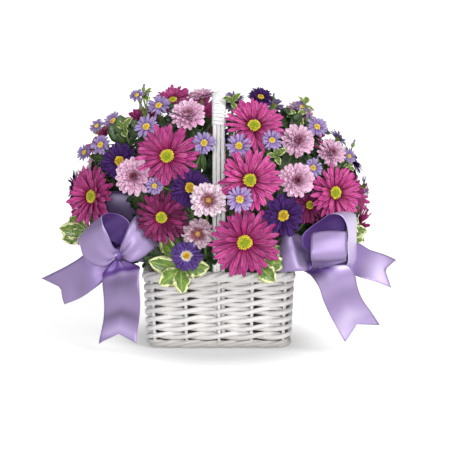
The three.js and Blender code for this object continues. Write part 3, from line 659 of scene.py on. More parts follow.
def outline(share, z, inset):
    """Points and outward directions at shares of the way round the basket, from the front's
    middle towards +X."""
    half_width = HALF_WIDTH + flare_at(z) - inset
    half_depth = HALF_DEPTH + flare_at(z) - inset
    radius = CORNER - inset
    flat_width, flat_depth = half_width - radius, half_depth - radius
    corners = []
    for quarter, (x, y) in enumerate([(1, -1), (1, 1), (-1, 1), (-1, -1)]):
        turn = np.radians(np.linspace(quarter * 90 - 90, quarter * 90, 24))
        out = np.stack([np.cos(turn), np.sin(turn)], axis=-1)
        corners.append(np.concatenate([vec(x * flat_width, y * flat_depth) + out * radius, out], 1))
    front = vec(0, -half_depth, 0, -1)[None]
    ring = np.concatenate([front, *corners, front])
    run = distance_along(ring[:, :2])
    where = np.mod(share, 1) * run[-1]
    x, y, out_x, out_y = (np.interp(where, run, ring[:, i]) for i in range(4))
    z = np.broadcast_to(z, x.shape)
    return np.stack([x, y, z], -1), unit(np.stack([out_x, out_y, 0 * x], -1))


def round_the_basket(stock, rng, height, swing, rise, turns, offset, radius):
    """One rod that runs round the basket in a closed ring, and winds round the wall's middle."""
    share = np.linspace(0, 1, STAKES * 10, endpoint=False)
    phase = share * turns * 2 * math.pi + offset
    drift = sum(rng.uniform(-ROD_STRAYS, ROD_STRAYS)
                * np.sin(2 * math.pi * n * share + rng.uniform(0, 6)) for n in (2, 5, 9))
    middle, out = outline(share, height, STAKE_INSET)
    line = middle + out * (swing * np.cos(phase))[:, None]
    line[:, 2] += rise * np.sin(phase) + drift
    thick = radius * (1 + ROD_SWELLS * np.sin(2 * math.pi * 3 * share + rng.uniform(0, 6)))
    up = np.broadcast_to(vec(0, 0, WEAVER_TALL), out.shape)
    turn = np.linspace(0, 2 * math.pi, WEAVER_SIDES, endpoint=False)
    ring = out[:, None] * np.cos(turn)[:, None] + up[:, None] * np.sin(turn)[:, None]
    grid = line[:, None] + ring * thick[:, None, None]
    stock.add(grid, closed=True, **tube_marks(line, WEAVER_SIDES, rng.uniform()))


def build_wall():
    """Rows of paired rods that twist round each other and hold a stake at each half turn."""
    rng = np.random.default_rng(11)
    stock = Stock()
    for row in range(ROWS):
        for offset in (0, math.pi):
            round_the_basket(stock, rng, FIRST_ROW + row * ROW_PITCH, WEAVER_SWING, WEAVER_RISE,
                             STAKES / 2, offset, WEAVER_RADIUS)
    stock.piece("woven_wall", WILLOW, ["basket_wall"], "white_wicker")


def build_border(name):
    """A border of rods rolled round each other like a rope."""
    node, height, strands, rope, turns, radius = BORDERS[name]
    rng = np.random.default_rng(len(name))
    stock = Stock()
    for strand in range(strands):
        round_the_basket(stock, rng, height, rope, rope, turns, 2 * math.pi * strand / strands,
                         radius)
    stock.piece(name, WILLOW, [node], "white_wicker")


def build_base():
    """The stakes, and the floor: sticks across it with rods woven over and under them."""
    rng = np.random.default_rng(13)
    stock = Stock()
    for stake in range(STAKES):
        line = np.concatenate([outline(np.array([stake / STAKES]), z, STAKE_INSET)[0]
                               for z in np.linspace(2.5, STAKE_TOP, 12)])
        line[:, :2] += rng.normal(0, 0.12, (len(line), 2))
        stock.add_tube(line, STAKE_RADIUS, 8, rng.uniform())
    sticks = np.linspace(-LAST_STICK, LAST_STICK, FLOOR_STICKS)
    for x in sticks:
        reach = np.linspace(-1, 1, 9)[:, None] * vec(0, HALF_DEPTH - 6, 0)
        line = vec(x, 0, FLOOR_MIDDLE) + reach
        stock.add_tube(line, FLOOR_STICK_RADIUS, 8, rng.uniform())
    pitch = sticks[1] - sticks[0]
    for i, y in enumerate(np.arange(9 - HALF_DEPTH, HALF_DEPTH - 8, FLOOR_ROD_PITCH)):
        edge = HALF_WIDTH - 5 - max(0, abs(y) - (HALF_DEPTH - CORNER)) * 0.6
        x = np.linspace(-edge, edge, 73)
        over = np.cos((x / pitch + i) * math.pi)
        line = np.stack([x, np.full_like(x, y), FLOOR_MIDDLE + over * FLOOR_ROD_SWING], axis=-1)
        stock.add_tube(line, FLOOR_ROD_RADIUS, 8, rng.uniform())
    stock.piece("stakes_and_floor", WILLOW, ["basket_base"], "white_wicker")


def handle_line():
    """The arch's centreline, from the front leg's foot over the top to the back leg's foot."""
    def leg(z):
        return HALF_DEPTH + flare_at(z) - WALL - HANDLE_INSIDE

    half = [(leg(HANDLE_FOOT), HANDLE_FOOT), (leg(HEIGHT), HEIGHT), *HANDLE_BEND]
    front = [(0, -y, z) for y, z in half]
    back = [(0, y, z) for y, z in reversed(half)]
    return curve_through([*front, (0, 0, HANDLE_TOP), *back], 16)


def build_handle_rods(line):
    """Six rods side by side, drawn together where they are bound."""
    rng = np.random.default_rng(17)
    across = np.broadcast_to(vec(1, 0, 0), line.shape)
    forward = unit(np.gradient(line, axis=0))
    out = np.cross(across, forward)
    bound = smooth_step(BINDING_FROM - 25, BINDING_FROM, line[:, 2])
    rods = Stock()
    for layer in (-1, 1):
        for column in (-1, 0, 1):
            wander = sum(0.5 * np.sin(np.linspace(0, n, len(line)) + rng.uniform(0, 6))
                         for n in (9, 23))
            x = column * HANDLE_ROD * 2 * between(1.06, 0.98, bound) + wander * (1 - bound) * 0.5
            y = layer * HANDLE_ROD * 0.92 + wander[::-1] * (1 - bound) * 0.4
            rod = line + across * x[:, None] + out * y[:, None]
            rods.add_tube(rod, HANDLE_ROD * rng.uniform(0.92, 1.02), 10, rng.uniform())
    rods.piece("handle_rods", HANDLE_PAINT_PALER_FOR_LIGHT, ["handle"], "handle_rods")


def build_handle_binding(line):
    """Split cane wound round the rods over the top of the arch."""
    run = distance_along(line)
    high = run[line[:, 2] > BINDING_FROM]
    turns = (high[-1] - high[0]) / BINDING_PITCH
    where = np.linspace(high[0], high[-1], int(turns * 20))
    middle = np.stack([np.interp(where, run, line[:, i]) for i in range(3)], axis=-1)
    forward = unit(np.gradient(middle, axis=0))
    side = np.broadcast_to(vec(1, 0, 0), middle.shape)
    out = np.cross(side, forward)
    turn = np.linspace(0, turns * 2 * math.pi, len(where))[:, None]
    cos, sin = np.cos(turn), np.sin(turn)
    reach = (np.abs(cos / BOUND_HALF_WIDTH)**3 + np.abs(sin / BOUND_HALF_DEPTH)**3) ** (-1 / 3)
    skin = side * cos + out * sin
    middle = middle + skin * reach
    flat = [(-1, 0), (-0.8, 0.7), (0, 1), (0.8, 0.7), (1, 0), (0.7, -0.6), (-0.7, -0.6)]
    grid = np.stack([middle + forward * (a * BINDING_HALF) + skin * (b * BINDING_THICK)
                     for a, b in flat], axis=1)
    binding = Stock()
    binding.add(grid, **tube_marks(middle, len(flat), 0.4))
    binding.piece("handle_binding", HANDLE_PAINT_PALER_FOR_LIGHT, slot="handle_rods")


# ------------------------------------------------------------------ blooms

# What a whorl of petals is: how many, and for a bloom of radius 1 its petals' start, length and
# width; then their rise, curl and cup, and how near the heart they are.
WHORLS = {
    "daisy": [
        ("petal", 24, 0.12, 0.90, 0.185, 6, -4, 0.3, 0.0),
        ("petal", 22, 0.12, 0.83, 0.17, 17, -8, 0.35, 0.2),
        ("petal", 17, 0.13, 0.64, 0.15, 30, -8, 0.4, 0.45),
    ],
    "button": [
        ("spoon", 20, 0.10, 0.90, 0.3, 0, 4, 0.5, 0.0),
        ("spoon", 20, 0.10, 0.84, 0.28, 14, 6, 0.55, 0.1),
        ("spoon", 19, 0.10, 0.74, 0.25, 28, 8, 0.6, 0.2),
        ("spoon", 17, 0.09, 0.62, 0.22, 42, 10, 0.6, 0.35),
        ("spoon", 14, 0.08, 0.48, 0.19, 56, 14, 0.6, 0.7),
        ("spoon", 9, 0.06, 0.36, 0.16, 68, 20, 0.6, 1.0),
    ],
    "open button": [
        ("spoon", 20, 0.14, 0.86, 0.29, 2, 2, 0.45, 0.0),
        ("spoon", 20, 0.14, 0.79, 0.27, 16, 4, 0.5, 0.1),
        ("spoon", 18, 0.14, 0.66, 0.23, 30, 6, 0.55, 0.25),
        ("spoon", 16, 0.16, 0.42, 0.16, 46, 10, 0.55, 0.9),
    ],
    "aster": [
        ("petal", 24, 0.14, 0.87, 0.2, 4, -6, 0.3, 0.0),
        ("petal", 22, 0.14, 0.79, 0.185, 15, -8, 0.35, 0.15),
        ("petal", 18, 0.14, 0.64, 0.16, 28, -8, 0.4, 0.35),
    ],
    "lavender": [
        ("strap", 14, 0.14, 0.86, 0.28, 6, -8, 0.25, 0.0),
        ("strap", 12, 0.14, 0.80, 0.25, 18, -12, 0.3, 0.2),
    ],
}
# An eye's radius, height and number of florets, for a bloom of radius 1.
EYE_SHAPES = {
    "daisy": (0.245, 0.10, 90),
    "button": (0.1, 0.2, 16),
    "open button": (0.24, 0.12, 60),
    "aster": (0.28, 0.10, 70),
    "lavender": (0.28, 0.12, 34),
}
GOLDEN_ANGLE = math.radians(137.508)


def petals_of(stock, rng, kind, bloom, white_heart, depth):
    """Adds a bloom's petals, whorl by whorl; depth is painted shade that makes them darker than the
    others, and below 0 painted light that makes them paler.
    """
    radius, columns, place = bloom["radius"], bloom["columns"], bloom["place"]
    for shape, count, start, length, width, rise, curl, cup, heart in WHORLS[kind]:
        grids = blades(
            count, shape, radius * length * rng.normal(1, 0.05, count),
            radius * width * rng.normal(1, 0.09, count), rise + rng.normal(0, 5, count),
            curl + rng.normal(0, 10, count), cup, start=radius * start, thick=radius * 0.022)
        turns = (np.arange(count) + rng.normal(0, 0.2, count)) * 2 * math.pi / count
        grids = spun(grids, turns + rng.uniform(0, 6))
        marks = blade_marks(shape, rng.uniform(0, 1, count) + depth, 2 if white_heart else heart)
        stock.add(set_in(grids, columns, place), **marks)


def eye_of(stock, rng, kind, bloom):
    """Adds a bloom's eye: small florets set in spirals on a low dome."""
    radius, columns, place = bloom["radius"], bloom["columns"], bloom["place"]
    wide, high, count = EYE_SHAPES[kind]
    wide, high = wide * radius, high * radius
    bed = [(wide * 1.02, -0.6), (wide * 0.98, 0.25 * high), (wide * 0.7, 0.75 * high),
           (wide * 0.3, high)]
    stock.add(set_in(turned(bed, 14), columns, place), along=0.6, across=0, tone=0.5)
    k = np.arange(count)
    out = np.sqrt((k + 0.5) / count)
    turn = k * GOLDEN_ANGLE
    size = wide * 1.05 / math.sqrt(count)
    size = size * rng.normal(1, 0.1, count)
    shape = turned([(1, 0), (1.05, 0.7), (0.8, 1.35), (0.3, 1.7)], 6)
    foot = np.stack([wide * out * np.cos(turn), wide * out * np.sin(turn), high * (1 - out**2)], 1)
    grids = shape[None] * size[:, None, None, None] + foot[:, None, None]
    up = np.linspace(0, 1, 4)[None, :, None]
    stock.add(set_in(grids, columns, place), along=out[:, None, None], across=up,
              tone=rng.uniform(0, 1, count)[:, None, None])


def cup_of(stock, rng, bloom):
    """Adds the green cup under a bloom, with its ring of small bracts."""
    radius, columns, place = bloom["radius"], bloom["columns"], bloom["place"]
    deep = 0.17 * radius
    cup = [(TWIG_RADIUS, -deep - 1), (TWIG_RADIUS * 1.4, -deep), (0.17 * radius, -deep * 0.55),
           (0.2 * radius, -0.2), (0.1 * radius, 0.02 * radius)]
    grid = set_in(turned(cup, 12), columns, place)
    stock.add(grid, along=np.arange(5)[:, None] * 2, across=np.linspace(0, 1, 12), tone=0.3)
    for count, low in ((9, 0.8), (9, 0.45)):
        bracts = blades(count, "strap", radius * 0.24, radius * 0.1, 18, -10, 0.3,
                        start=radius * 0.1, height=-deep * low, thick=0.5)
        bracts = spun(bracts, (np.arange(count) + low) * 2 * math.pi / count)
        marks = blade_marks("strap", rng.uniform(0, 1, count))
        stock.add(set_in(bracts, columns, place), **marks)


def bloom_at(u, v, radius, lift, turn=0.45, *, from_back):
    place = on_dome(u, v, lift)
    facing = unit(between(dome_out(place), unit(EYE - place), turn))
    if from_back:
        place, facing = place * (-1, -1, 1), facing * (-1, -1, 1)
    return {"place": place, "facing": facing, "radius": radius, "columns": facing_frame(facing)}


def dome_point(bearing, climb):
    """A point on the dome, by its angle round from +X towards the back, and its angle up."""
    turn, up = math.radians(bearing), math.radians(climb)
    way = vec(math.cos(up) * math.cos(turn), math.cos(up) * math.sin(turn), math.sin(up))
    return way * DOME + DOME_MIDDLE


def side_bloom_at(bearing, climb, radius, lift):
    place = dome_point(bearing, climb)
    facing = dome_out(place)
    place = place + facing * lift
    return {"place": place, "facing": facing, "radius": radius, "columns": facing_frame(facing)}


def stem_aim(place):
    """The point inside the foam that a stem to this place aims at."""
    x = math.copysign(np.clip(abs(place[0]) * 0.36, 12.6, 40), place[0])
    y = np.clip(place[1] * 0.1, -8, 8)
    return vec(x, y, np.interp(place[2], (110, 150), (80, 60)))


# How far up from its foot a spray's stem forks.
FORKS = {"daisy": 0.5, "button": 0.55, "aster": 0.6, "lavender": 0.7}


def stem_lines(blooms, fork_share):
    """A stem's main line from the foam, and a line to each bloom that it carries."""
    ends = [b["place"] - b["facing"] * 0.15 * b["radius"] for b in blooms]
    middle = np.mean([b["place"] + b["facing"] for b in blooms], axis=0)
    aim = stem_aim(middle)
    foot = aim + unit(middle - aim) * STEM_SEAT
    fork = between(foot, middle, fork_share)
    trunk = foot + np.linspace(0, 1, 9)[:, None] * (fork - foot)
    twigs = []
    for bloom, end in zip(blooms, ends):
        reach = np.linalg.norm(end - fork)
        leave = unit(between(unit(fork - foot), unit(end - fork), 0.6))
        twigs.append(bezier(fork, fork + leave * reach * 0.4,
                            end - bloom["facing"] * reach * 0.22, end, 10))
    return trunk, twigs


def leaf_on(stock, rng, outline_name, foot, along, face, length):
    """Adds one leaf that leaves its stem at foot, with its upper side towards face."""
    face = unit(face - along * (along @ face))
    columns = np.stack([np.cross(along, face), along, face], axis=1)
    grid = blades(1, outline_name, length, length * LEAF_SLIMNESS[outline_name]
                  * rng.uniform(0.85, 1.15), rng.uniform(-5, 20), rng.uniform(-60, -15), 0.1,
                  fold=0.25, thick=0.45, wave=0.12)
    stock.add(set_in(grid, columns, foot), **blade_marks(outline_name, rng.uniform()))


def leaves_on(stock, rng, line, outline_name, sizes, first, last, count):
    """Sets leaves up a stem in turn round it, spread flat under the dome of blooms."""
    sides, others = carried(line)
    run = distance_along(line)
    for k in range(count):
        where = between(first, last, (k + rng.uniform(0.2, 0.8)) / count) * run[-1]
        foot = np.array([np.interp(where, run, line[:, axis]) for axis in range(3)])
        turn = k * GOLDEN_ANGLE + rng.uniform(-0.5, 0.5)
        away = sides[0] * math.cos(turn) + others[0] * math.sin(turn)
        outward = dome_out(foot)
        length = rng.uniform(*sizes)
        for climb in (0.8, 0.3, 0, -0.3, -0.8):
            along = unit(unit(away - outward * (away @ outward)) + outward * climb)
            tip = foot + along * length
            near_handle = min(abs(foot[0]), abs(tip[0])) < HANDLE_CLEAR
            hides_handle = foot[0] * tip[0] < 0 or near_handle
            if dome_share(tip) < 0.9 and tip[2] > FOAM_CLEAR and not hides_handle:
                leaf_on(stock, rng, outline_name, foot, along, outward, length)
                break


def bud_on(petals, green, rng, foot, bend, size, way):
    """Adds a closed bud on a short twig: a green cup with the petals' tips in a tuft."""
    reach = np.linalg.norm(bend)
    line = bezier(foot, foot + way * reach * 0.5, foot + bend * 0.8, foot + bend, 6)
    green.add_tube(line, BUD_TWIG_RADIUS, 6, rng.uniform())
    columns = facing_frame(unit(line[-1] - line[-3]))
    cup = [(0.3, 0), (0.8, 0.5), (1, 1.3), (0.8, 2), (0.35, 2.3)]
    grid = set_in(turned(cup, 8) * size, columns, line[-1] - columns[:, 2] * 0.4)
    green.add(grid, along=np.arange(5)[:, None], across=np.linspace(0, 1, 8), tone=rng.uniform())
    tuft = blades(8, "strap", size * rng.uniform(1.6, 2.4, 8), size * 0.8, 82, 6, 0.4,
                  start=size * 0.3, height=size * 1.5, thick=0.4)
    tuft = spun(tuft, np.arange(8) * math.pi / 4)
    petals.add(set_in(tuft, columns, line[-1]), **blade_marks("strap", rng.uniform(0, 1, 8)))


def buds_along(petals, green, rng, line, blooms, count):
    """Adds buds to a twig, where they don't stand before a bloom."""
    sides, others = carried(line)
    for _ in range(count):
        i = rng.integers(len(line) // 2, len(line) - 1)
        turn = rng.uniform(0, 2 * math.pi)
        way = sides[i] * math.cos(turn) + others[i] * math.sin(turn) + dome_out(line[i]) * 1.2
        way, size = unit(way), rng.uniform(1.8, 2.7)
        bend = unit(way + vec(0, 0, 0.5)) * size * rng.uniform(4, 7)
        tip = line[i] + bend * 1.3
        if abs(line[i][0]) > HANDLE_ROOM and room_at(tip, blooms) > 1:
            bud_on(petals, green, rng, line[i], bend, size, way)


def room_at(place, blooms):
    """How far a place is from the nearest bloom's edge, as seen from outside the dome."""
    out = dome_out(place)
    rooms = []
    for bloom in blooms:
        apart = place - bloom["place"]
        rooms.append(np.linalg.norm(apart - out * (apart @ out)) - bloom["radius"])
    return min(rooms)


TRUNK_LEAVES = 6
TWIG_LEAVES = 7
TWIG_BUDS = 4
# A leaf's width for a length of 1.
LEAF_SLIMNESS = {"lobed leaf": 0.66, "lance leaf": 0.3, "oval leaf": 0.55}


def build_plant(name, kind, blooms, all_blooms, rng):
    """One stem, or one branching spray: its petals, eyes, stems and leaves."""
    look = "open button" if name in OPEN_BUTTONS else kind
    petals, eyes, green, foliage = Stock(), Stock(), Stock(), Stock()
    for i, bloom in enumerate(blooms):
        # each bloom's painted shade, or below 0 its painted light, is added to its petals' tone
        petals_of(petals, rng, look, bloom, (name, i) in WHITE_HEARTS, BLOOM_PAINTED_SHADE_AND_LIGHT.get((name, i), 0))
        eye_of(eyes, rng, look, bloom)
        cup_of(green, rng, bloom)
    trunk, twigs = stem_lines(blooms, FORKS[kind])
    green.add_tube(trunk, STEM_RADIUS, 8, rng.uniform())
    for twig in twigs:
        radius = np.linspace(STEM_RADIUS * 0.95, TWIG_RADIUS, len(twig))
        green.add_tube(twig, radius, 8, rng.uniform())
    broad = kind in ("daisy", "button")
    leaf, sizes = ("lobed leaf", (30, 48)) if broad else ("lance leaf", (22, 36))
    leaves_on(foliage, rng, trunk, leaf, sizes, 0.3, 1, TRUNK_LEAVES)
    for twig in twigs:
        leaves_on(foliage, rng, twig, leaf, sizes, 0.15, 0.9, TWIG_LEAVES)
    if not broad:
        for twig in twigs:
            buds_along(petals, green, rng, twig, all_blooms, TWIG_BUDS)
    petals.piece(f"{name}_petals", PETALS[look], [name], f"{kind}_petals")
    eyes.piece(f"{name}_eyes", EYES[look])
    green.piece(f"{name}_stem", STEM, slot="greenery")
    if foliage.count:
        foliage.piece(f"{name}_leaves", LEAVES[leaf], slot="greenery")


# Each bloom is [u, v, radius, lift, turn]: lift moves it out from the dome, and turn is how far
# its face turns from the dome's own direction towards the viewer. Blooms of one row share a stem.
FRONT = {
    "daisy": {
        "daisy_left_top": [[-54, 202, 32, 4, 0.3], [-48, 261, 20, -4]],
        "daisy_right_top": [[37, 234, 30, 2, 0.3], [32.5, 177, 31, 6, 0.1]],
        "daisy_front": [[27, 112, 35, 4]],
        "daisy_right": [[122, 164, 29, 4, 0.3], [95, 151, 20, -14, 0.3]],
        "daisy_left": [[-133, 160, 31, 0, 0.2]],
        "daisy_low_left": [[-60, 138, 27, -1]],
    },
    "button": {
        "button_left": [[-89, 181, 20, 7]],
        "button_top": [[-32, 245, 19, 2, 0.3], [-18, 265, 15, 0, 0.1]],
        "button_middle": [[-11, 156, 18.5, 10], [-22, 121, 17, -4]],
        "button_right_top": [[83, 218, 18, 4], [118, 206, 15.5, 2]],
        "button_right": [[82, 177, 18.5, 7]],
    },
    "aster": {
        "aster_left": [[-104, 197, 20, 0]],
        "aster_middle": [[-30, 169, 20.5, 2], [-34, 98, 16.5, 4]],
        "aster_right": [[67.5, 140, 22, 5], [44, 264, 14, -2]],
    },
    "lavender": {
        "lavender_left_top": [[-63, 255, 13, 4], [-76, 233, 13.5, 5], [-86, 266, 9, 8]],
        "lavender_left": [[-111, 239, 12, 7], [-124, 214, 12, 5], [-141, 206, 10, 5],
                          [-128, 234, 9, 8]],
        "lavender_handle_left": [[-15.5, 216, 12.5, 3], [-67.5, 171, 9.5, 8]],
        "lavender_handle_right": [[21, 213, 13.5, 4], [56, 219, 11, 10]],
        "lavender_right_top": [[103, 233, 12, 8], [87, 254, 9, 8]],
        "lavender_middle": [[22, 157, 14, 15]],
        "lavender_right": [[99, 190, 10.5, 8], [137, 202, 8, 10]],
    },
}
BACK = {
    "daisy": {
        "daisy_back_low_left": [[-66, 110, 33, 4], [-138, 150, 27, 0]],
        "daisy_back_low_right": [[44, 112, 33, 4], [98, 164, 31, 3], [143, 142, 25, 0, 0.1]],
        "daisy_back_left": [[-22, 174, 32, 5], [-88, 206, 30, 2]],
        "daisy_back_top": [[26, 232, 30, 2]],
    },
    "button": {
        "button_back_left": [[-12, 112, 18, 4], [-68, 154, 18, 7]],
        "button_back_right": [[96, 116, 18, 4], [40, 176, 19, 7]],
        "button_back_side": [[132, 184, 17, 4, 0.1]],
    },
    "aster": {
        "aster_back_left": [[-110, 112, 19, 2], [-133, 186, 18, 2, 0.1]],
        "aster_back_middle": [[6, 205, 19, 8], [62, 146, 18, 9]],
    },
    "lavender": {
        "lavender_back_left": [[-98, 228, 12, 7], [-142, 170, 12, 4, 0], [-46, 238, 12, 7]],
        "lavender_back_top": [[-16, 250, 12, 5], [58, 250, 12, 6], [-62, 250, 10, 8]],
        "lavender_back_right": [[112, 232, 12, 7], [74, 184, 12, 9], [146, 172, 12, 6, 0]],
    },
}
# More blooms on the same stems, at the sides and on top: [bearing, climb, radius, lift].
SIDE_BLOOMS = {
    "daisy_back_low_left": [[2, -14, 25, 3]],
    "lavender_right": [[-4, 8, 12, 7], [12, 33, 12, 7]],
    "aster_back_left": [[0, 22, 18, 3]],
    "button_right_top": [[14, 54, 17, 3]],
    "lavender_back_left": [[30, 12, 12, 8]],
    "button_back_side": [[178, -16, 18, 4]],
    "aster_left": [[182, 8, 18, 5]],
    "daisy_left": [[178, 34, 24, 2]],
    "daisy_back_top": [[140, 44, 27, 2]],
    "lavender_back_right": [[150, 18, 12, 8]],
    "lavender_back_top": [[75, 66, 12, 6]],
}
OPEN_BUTTONS = {"button_middle"}
WHITE_HEARTS = {("aster_middle", 1)}
# How much darker a plant's bloom is painted than the others: painted shade on blooms that sit in
# # shadow. Below 0 it is paler: painted light on the most lit blooms.
BLOOM_PAINTED_SHADE_AND_LIGHT = {("daisy_low_left", 0): 1.6, ("daisy_right", 1): 1.3, ("button_middle", 1): 0.9,
        ("daisy_left", 0): 0.4, ("daisy_front", 0): 0.75, ("daisy_left_top", 0): 0.45,
        ("button_top", 0): -0.7, ("button_top", 1): -0.7, ("daisy_right_top", 0): -0.25,
        ("daisy_right_top", 1): -0.25, ("daisy_right", 0): -0.25, ("aster_middle", 1): -0.5}


def build_plants():
    """Builds every plant, and returns all their blooms."""
    plants = []
    for table, from_back in ((FRONT, False), (BACK, True)):
        for kind, rows in table.items():
            for name, row in rows.items():
                blooms = [bloom_at(*bloom, from_back=from_back) for bloom in row]
                blooms += [side_bloom_at(*bloom) for bloom in SIDE_BLOOMS.get(name, [])]
                plants.append((name, kind, blooms))
    all_blooms = [bloom for _, _, blooms in plants for bloom in blooms]
    for seed, (name, kind, blooms) in enumerate(plants):
        build_plant(name, kind, blooms, all_blooms, np.random.default_rng(100 + seed))
    return all_blooms


# ------------------------------------------------------------------ greenery

# A sprig is seen at (u, v) and stands at depth y, in front or at the back; its leaves are [clock
# angle, length, lean]. The angle turns from straight up towards the right, and lean tips a leaf
# towards its viewer.
SPRIGS = {
    "greens_front_left": ((-40, 84, -82), False, [(-75, 34, 10), (-125, 28, 18), (175, 26, 25),
                                                  (85, 30, 8), (-32, 42, -6)]),
    "greens_front_right": ((42, 88, -84), False, [(85, 28, 5), (135, 24, 20), (50, 30, -10)]),
    "greens_left": ((-138, 122, -20), False, [(-80, 30, 0), (-105, 28, 5), (-50, 26, -10)]),
    "greens_right": ((128, 122, -20), False, [(85, 28, 0), (110, 26, 5), (50, 26, -10)]),
    "greens_top_left": ((-98, 216, -20), False, [(-10, 30, 0), (-40, 26, 10), (25, 28, 0)]),
    "greens_back": ((10, 84, -80), True,
                    [(-80, 30, 8), (-125, 26, 18), (170, 26, 24), (90, 30, 8), (40, 28, -16)]),
}
LEAF_WIDTH = 19


def sprig_stem(green, rng, place, steps=10, tip_radius=0.9, sides=7):
    """Adds a stem that thins from the foam up to this place."""
    aim = stem_aim(place)
    foot = aim + unit(place - aim) * STEM_SEAT
    line = bezier(foot, between(foot, place, 0.4), between(foot, place, 0.8), place, steps)
    radius = np.linspace(STEM_RADIUS, tip_radius, len(line))
    green.add_tube(line, radius, sides, rng.uniform())


def build_sprig(name, at, from_back, leaves, rng):
    back = vec(-1, -1, 1) if from_back else vec(1, 1, 1)
    node = seen_at(*at) * back
    viewer = vec(0, -1, 0) * back
    foliage, green = Stock(), Stock()
    for clock, length, lean in leaves:
        clock, lean = math.radians(clock), math.radians(lean)
        flat = vec(math.sin(clock), 0, math.cos(clock)) * back
        along = flat * math.cos(lean) + viewer * math.sin(lean)
        face = unit(viewer - along * (along @ viewer))
        columns = np.stack([np.cross(along, face), along, face], axis=1)
        grid = blades(1, "oval leaf", length, LEAF_WIDTH * rng.uniform(0.9, 1.1),
                      rng.uniform(0, 12), rng.uniform(-35, -10), 0.12, fold=0.12, thick=0.5,
                      wave=0.14)
        foliage.add(set_in(grid, columns, node), **blade_marks("oval leaf", rng.uniform()))
    sprig_stem(green, rng, node, 12, 1.1, 8)
    finish = LEAVES["lance leaf" if name == "greens_top_left" else "oval leaf"]
    foliage.piece(f"{name}_leaves", finish, [name], "greenery")
    green.piece(f"{name}_stem", STEM, slot="greenery")


def build_greens():
    for seed, (name, (at, from_back, leaves)) in enumerate(SPRIGS.items()):
        build_sprig(name, at, from_back, leaves, np.random.default_rng(300 + seed))


# Small sprigs that fill gaps which the picture shows, as [u, v, lift, leaf length].
FILLERS = [[60, 203, 0, 13], [14, 259, 1, 12], [82, 245, 3, 15], [-80, 266, 4, 13],
           [-100, 231, 1, 14], [-124, 226, 2, 12], [136, 192, 0, 11], [91, 257, 2, 12]]
# Dark sprigs deep behind the handle and between the blooms, as [u, v, y, leaf length].
DEEP_SPRIGS = [[-13, 198, 16, 24], [-12, 180, 12, 26], [-14, 160, 8, 26], [-11, 139, 2, 24],
               [4, 172, 14, 24], [-44, 236, 20, 22], [104, 188, 4, 20], [66, 232, 16, 20],
               [26, 176, 6, 22], [-72, 214, 4, 22], [-84, 140, -34, 18]]
GAP_SPRIGS = 150  # places tried, evenly over the dome, for a sprig in a gap
GAP_HEIGHTS = (-0.62, 0.99)  # the lowest and the highest, as the sine of the climb
GAP_ROOM = 3  # how far a sprig keeps from a bloom's edge
BOW_ROOM = 42  # and from a bow's knot
IN_FRONT_ROOM = 34  # and from the handle, where it would stand before its upper part
IN_FRONT_ABOVE = 150
PALE_SHARE = 0.07  # how many of the gaps' sprigs are variegated
# The collar of leaves over the foam's edge.
COLLAR_LEAVES = 50
COLLAR_HEIGHT = 90
COLLAR_INSET = 17


def rosette(stock, rng, outline_name, place, facing, length, count):
    """Adds leaves that spread round a point and look the way that it faces."""
    columns = facing_frame(facing)
    for k in range(count):
        turn = k * GOLDEN_ANGLE + rng.uniform(0, 1)
        along = columns @ unit(vec(math.cos(turn), math.sin(turn), rng.uniform(0.1, 0.7)))
        leaf_on(stock, rng, outline_name, place - facing * k * 1.2, along, facing,
                length * rng.uniform(0.75, 1.15))


def fill_gaps(dark, pale, green, rng, blooms):
    """Adds sprigs of leaves in the gaps between blooms, all over the dome."""
    knots = [seen_at(*bow["knot"]) for bow in BOWS.values()]
    for k in range(GAP_SPRIGS):
        climb = math.degrees(math.asin(between(*GAP_HEIGHTS, (k + 0.5) / GAP_SPRIGS)))
        place = dome_point(math.degrees(k * GOLDEN_ANGLE), climb)
        facing = dome_out(place)
        room = min(np.linalg.norm(b["place"] - place) - b["radius"] for b in blooms)
        from_knots = min(np.linalg.norm(knot - place) for knot in knots)
        in_front = place[1] < 0 and place[2] > IN_FRONT_ABOVE
        at_handle = abs(place[0]) < (IN_FRONT_ROOM if in_front else HANDLE_ROOM)
        if room < GAP_ROOM or from_knots < BOW_ROOM or at_handle:
            continue
        place = place - facing * rng.uniform(6, 12)
        leaves = dark if rng.uniform() < 1 - PALE_SHARE else pale
        kind = "lobed leaf" if leaves is dark else "oval leaf"
        rosette(leaves, rng, kind, place, facing, min(30, 15 + room * 0.6), 5)
        sprig_stem(green, rng, place)


def lay_collar(dark, rng):
    """Adds a collar of leaves over the foam's edge."""
    for k in range(COLLAR_LEAVES):
        share = np.array([(k + rng.uniform(-0.3, 0.3)) / COLLAR_LEAVES])
        middle, out = outline(share, COLLAR_HEIGHT + rng.uniform(-2, 6), COLLAR_INSET)
        foot, out = middle[0], out[0]
        reach = rng.uniform(17, 26)
        along = unit(out + vec(out[1], -out[0], 0) * rng.uniform(-0.6, 0.6)
                     + vec(0, 0, rng.uniform(0.1, 0.6)))
        leaf_on(dark, rng, "lobed leaf", foot, along, unit(out * 0.4 + vec(0, 0, 1)), reach)


def build_fillers(blooms):
    """The sprigs and leaves that a florist pushes in between the blooms."""
    rng = np.random.default_rng(500)
    dark, pale, green = Stock(), Stock(), Stock()
    for u, v, lift, length in FILLERS:
        place = on_dome(u, v, lift)
        rosette(pale, rng, "oval leaf", place, unit(dome_out(place) + VIEW_BACK * 0.6), length, 4)
        sprig_stem(green, rng, place)
    for u, v, depth, length in DEEP_SPRIGS:
        place = seen_at(u, v, depth)
        rosette(dark, rng, "lobed leaf", place, VIEW_BACK, length, 6)
        sprig_stem(green, rng, place)
    fill_gaps(dark, pale, green, rng, blooms)
    lay_collar(dark, rng)
    dark.piece("filler_leaves", LEAVES["lobed leaf"], slot="greenery")
    pale.piece("filler_variegated_leaves", LEAVES["oval leaf"], slot="greenery")
    green.piece("filler_stems", STEM, slot="greenery")


# ------------------------------------------------------------------ bows

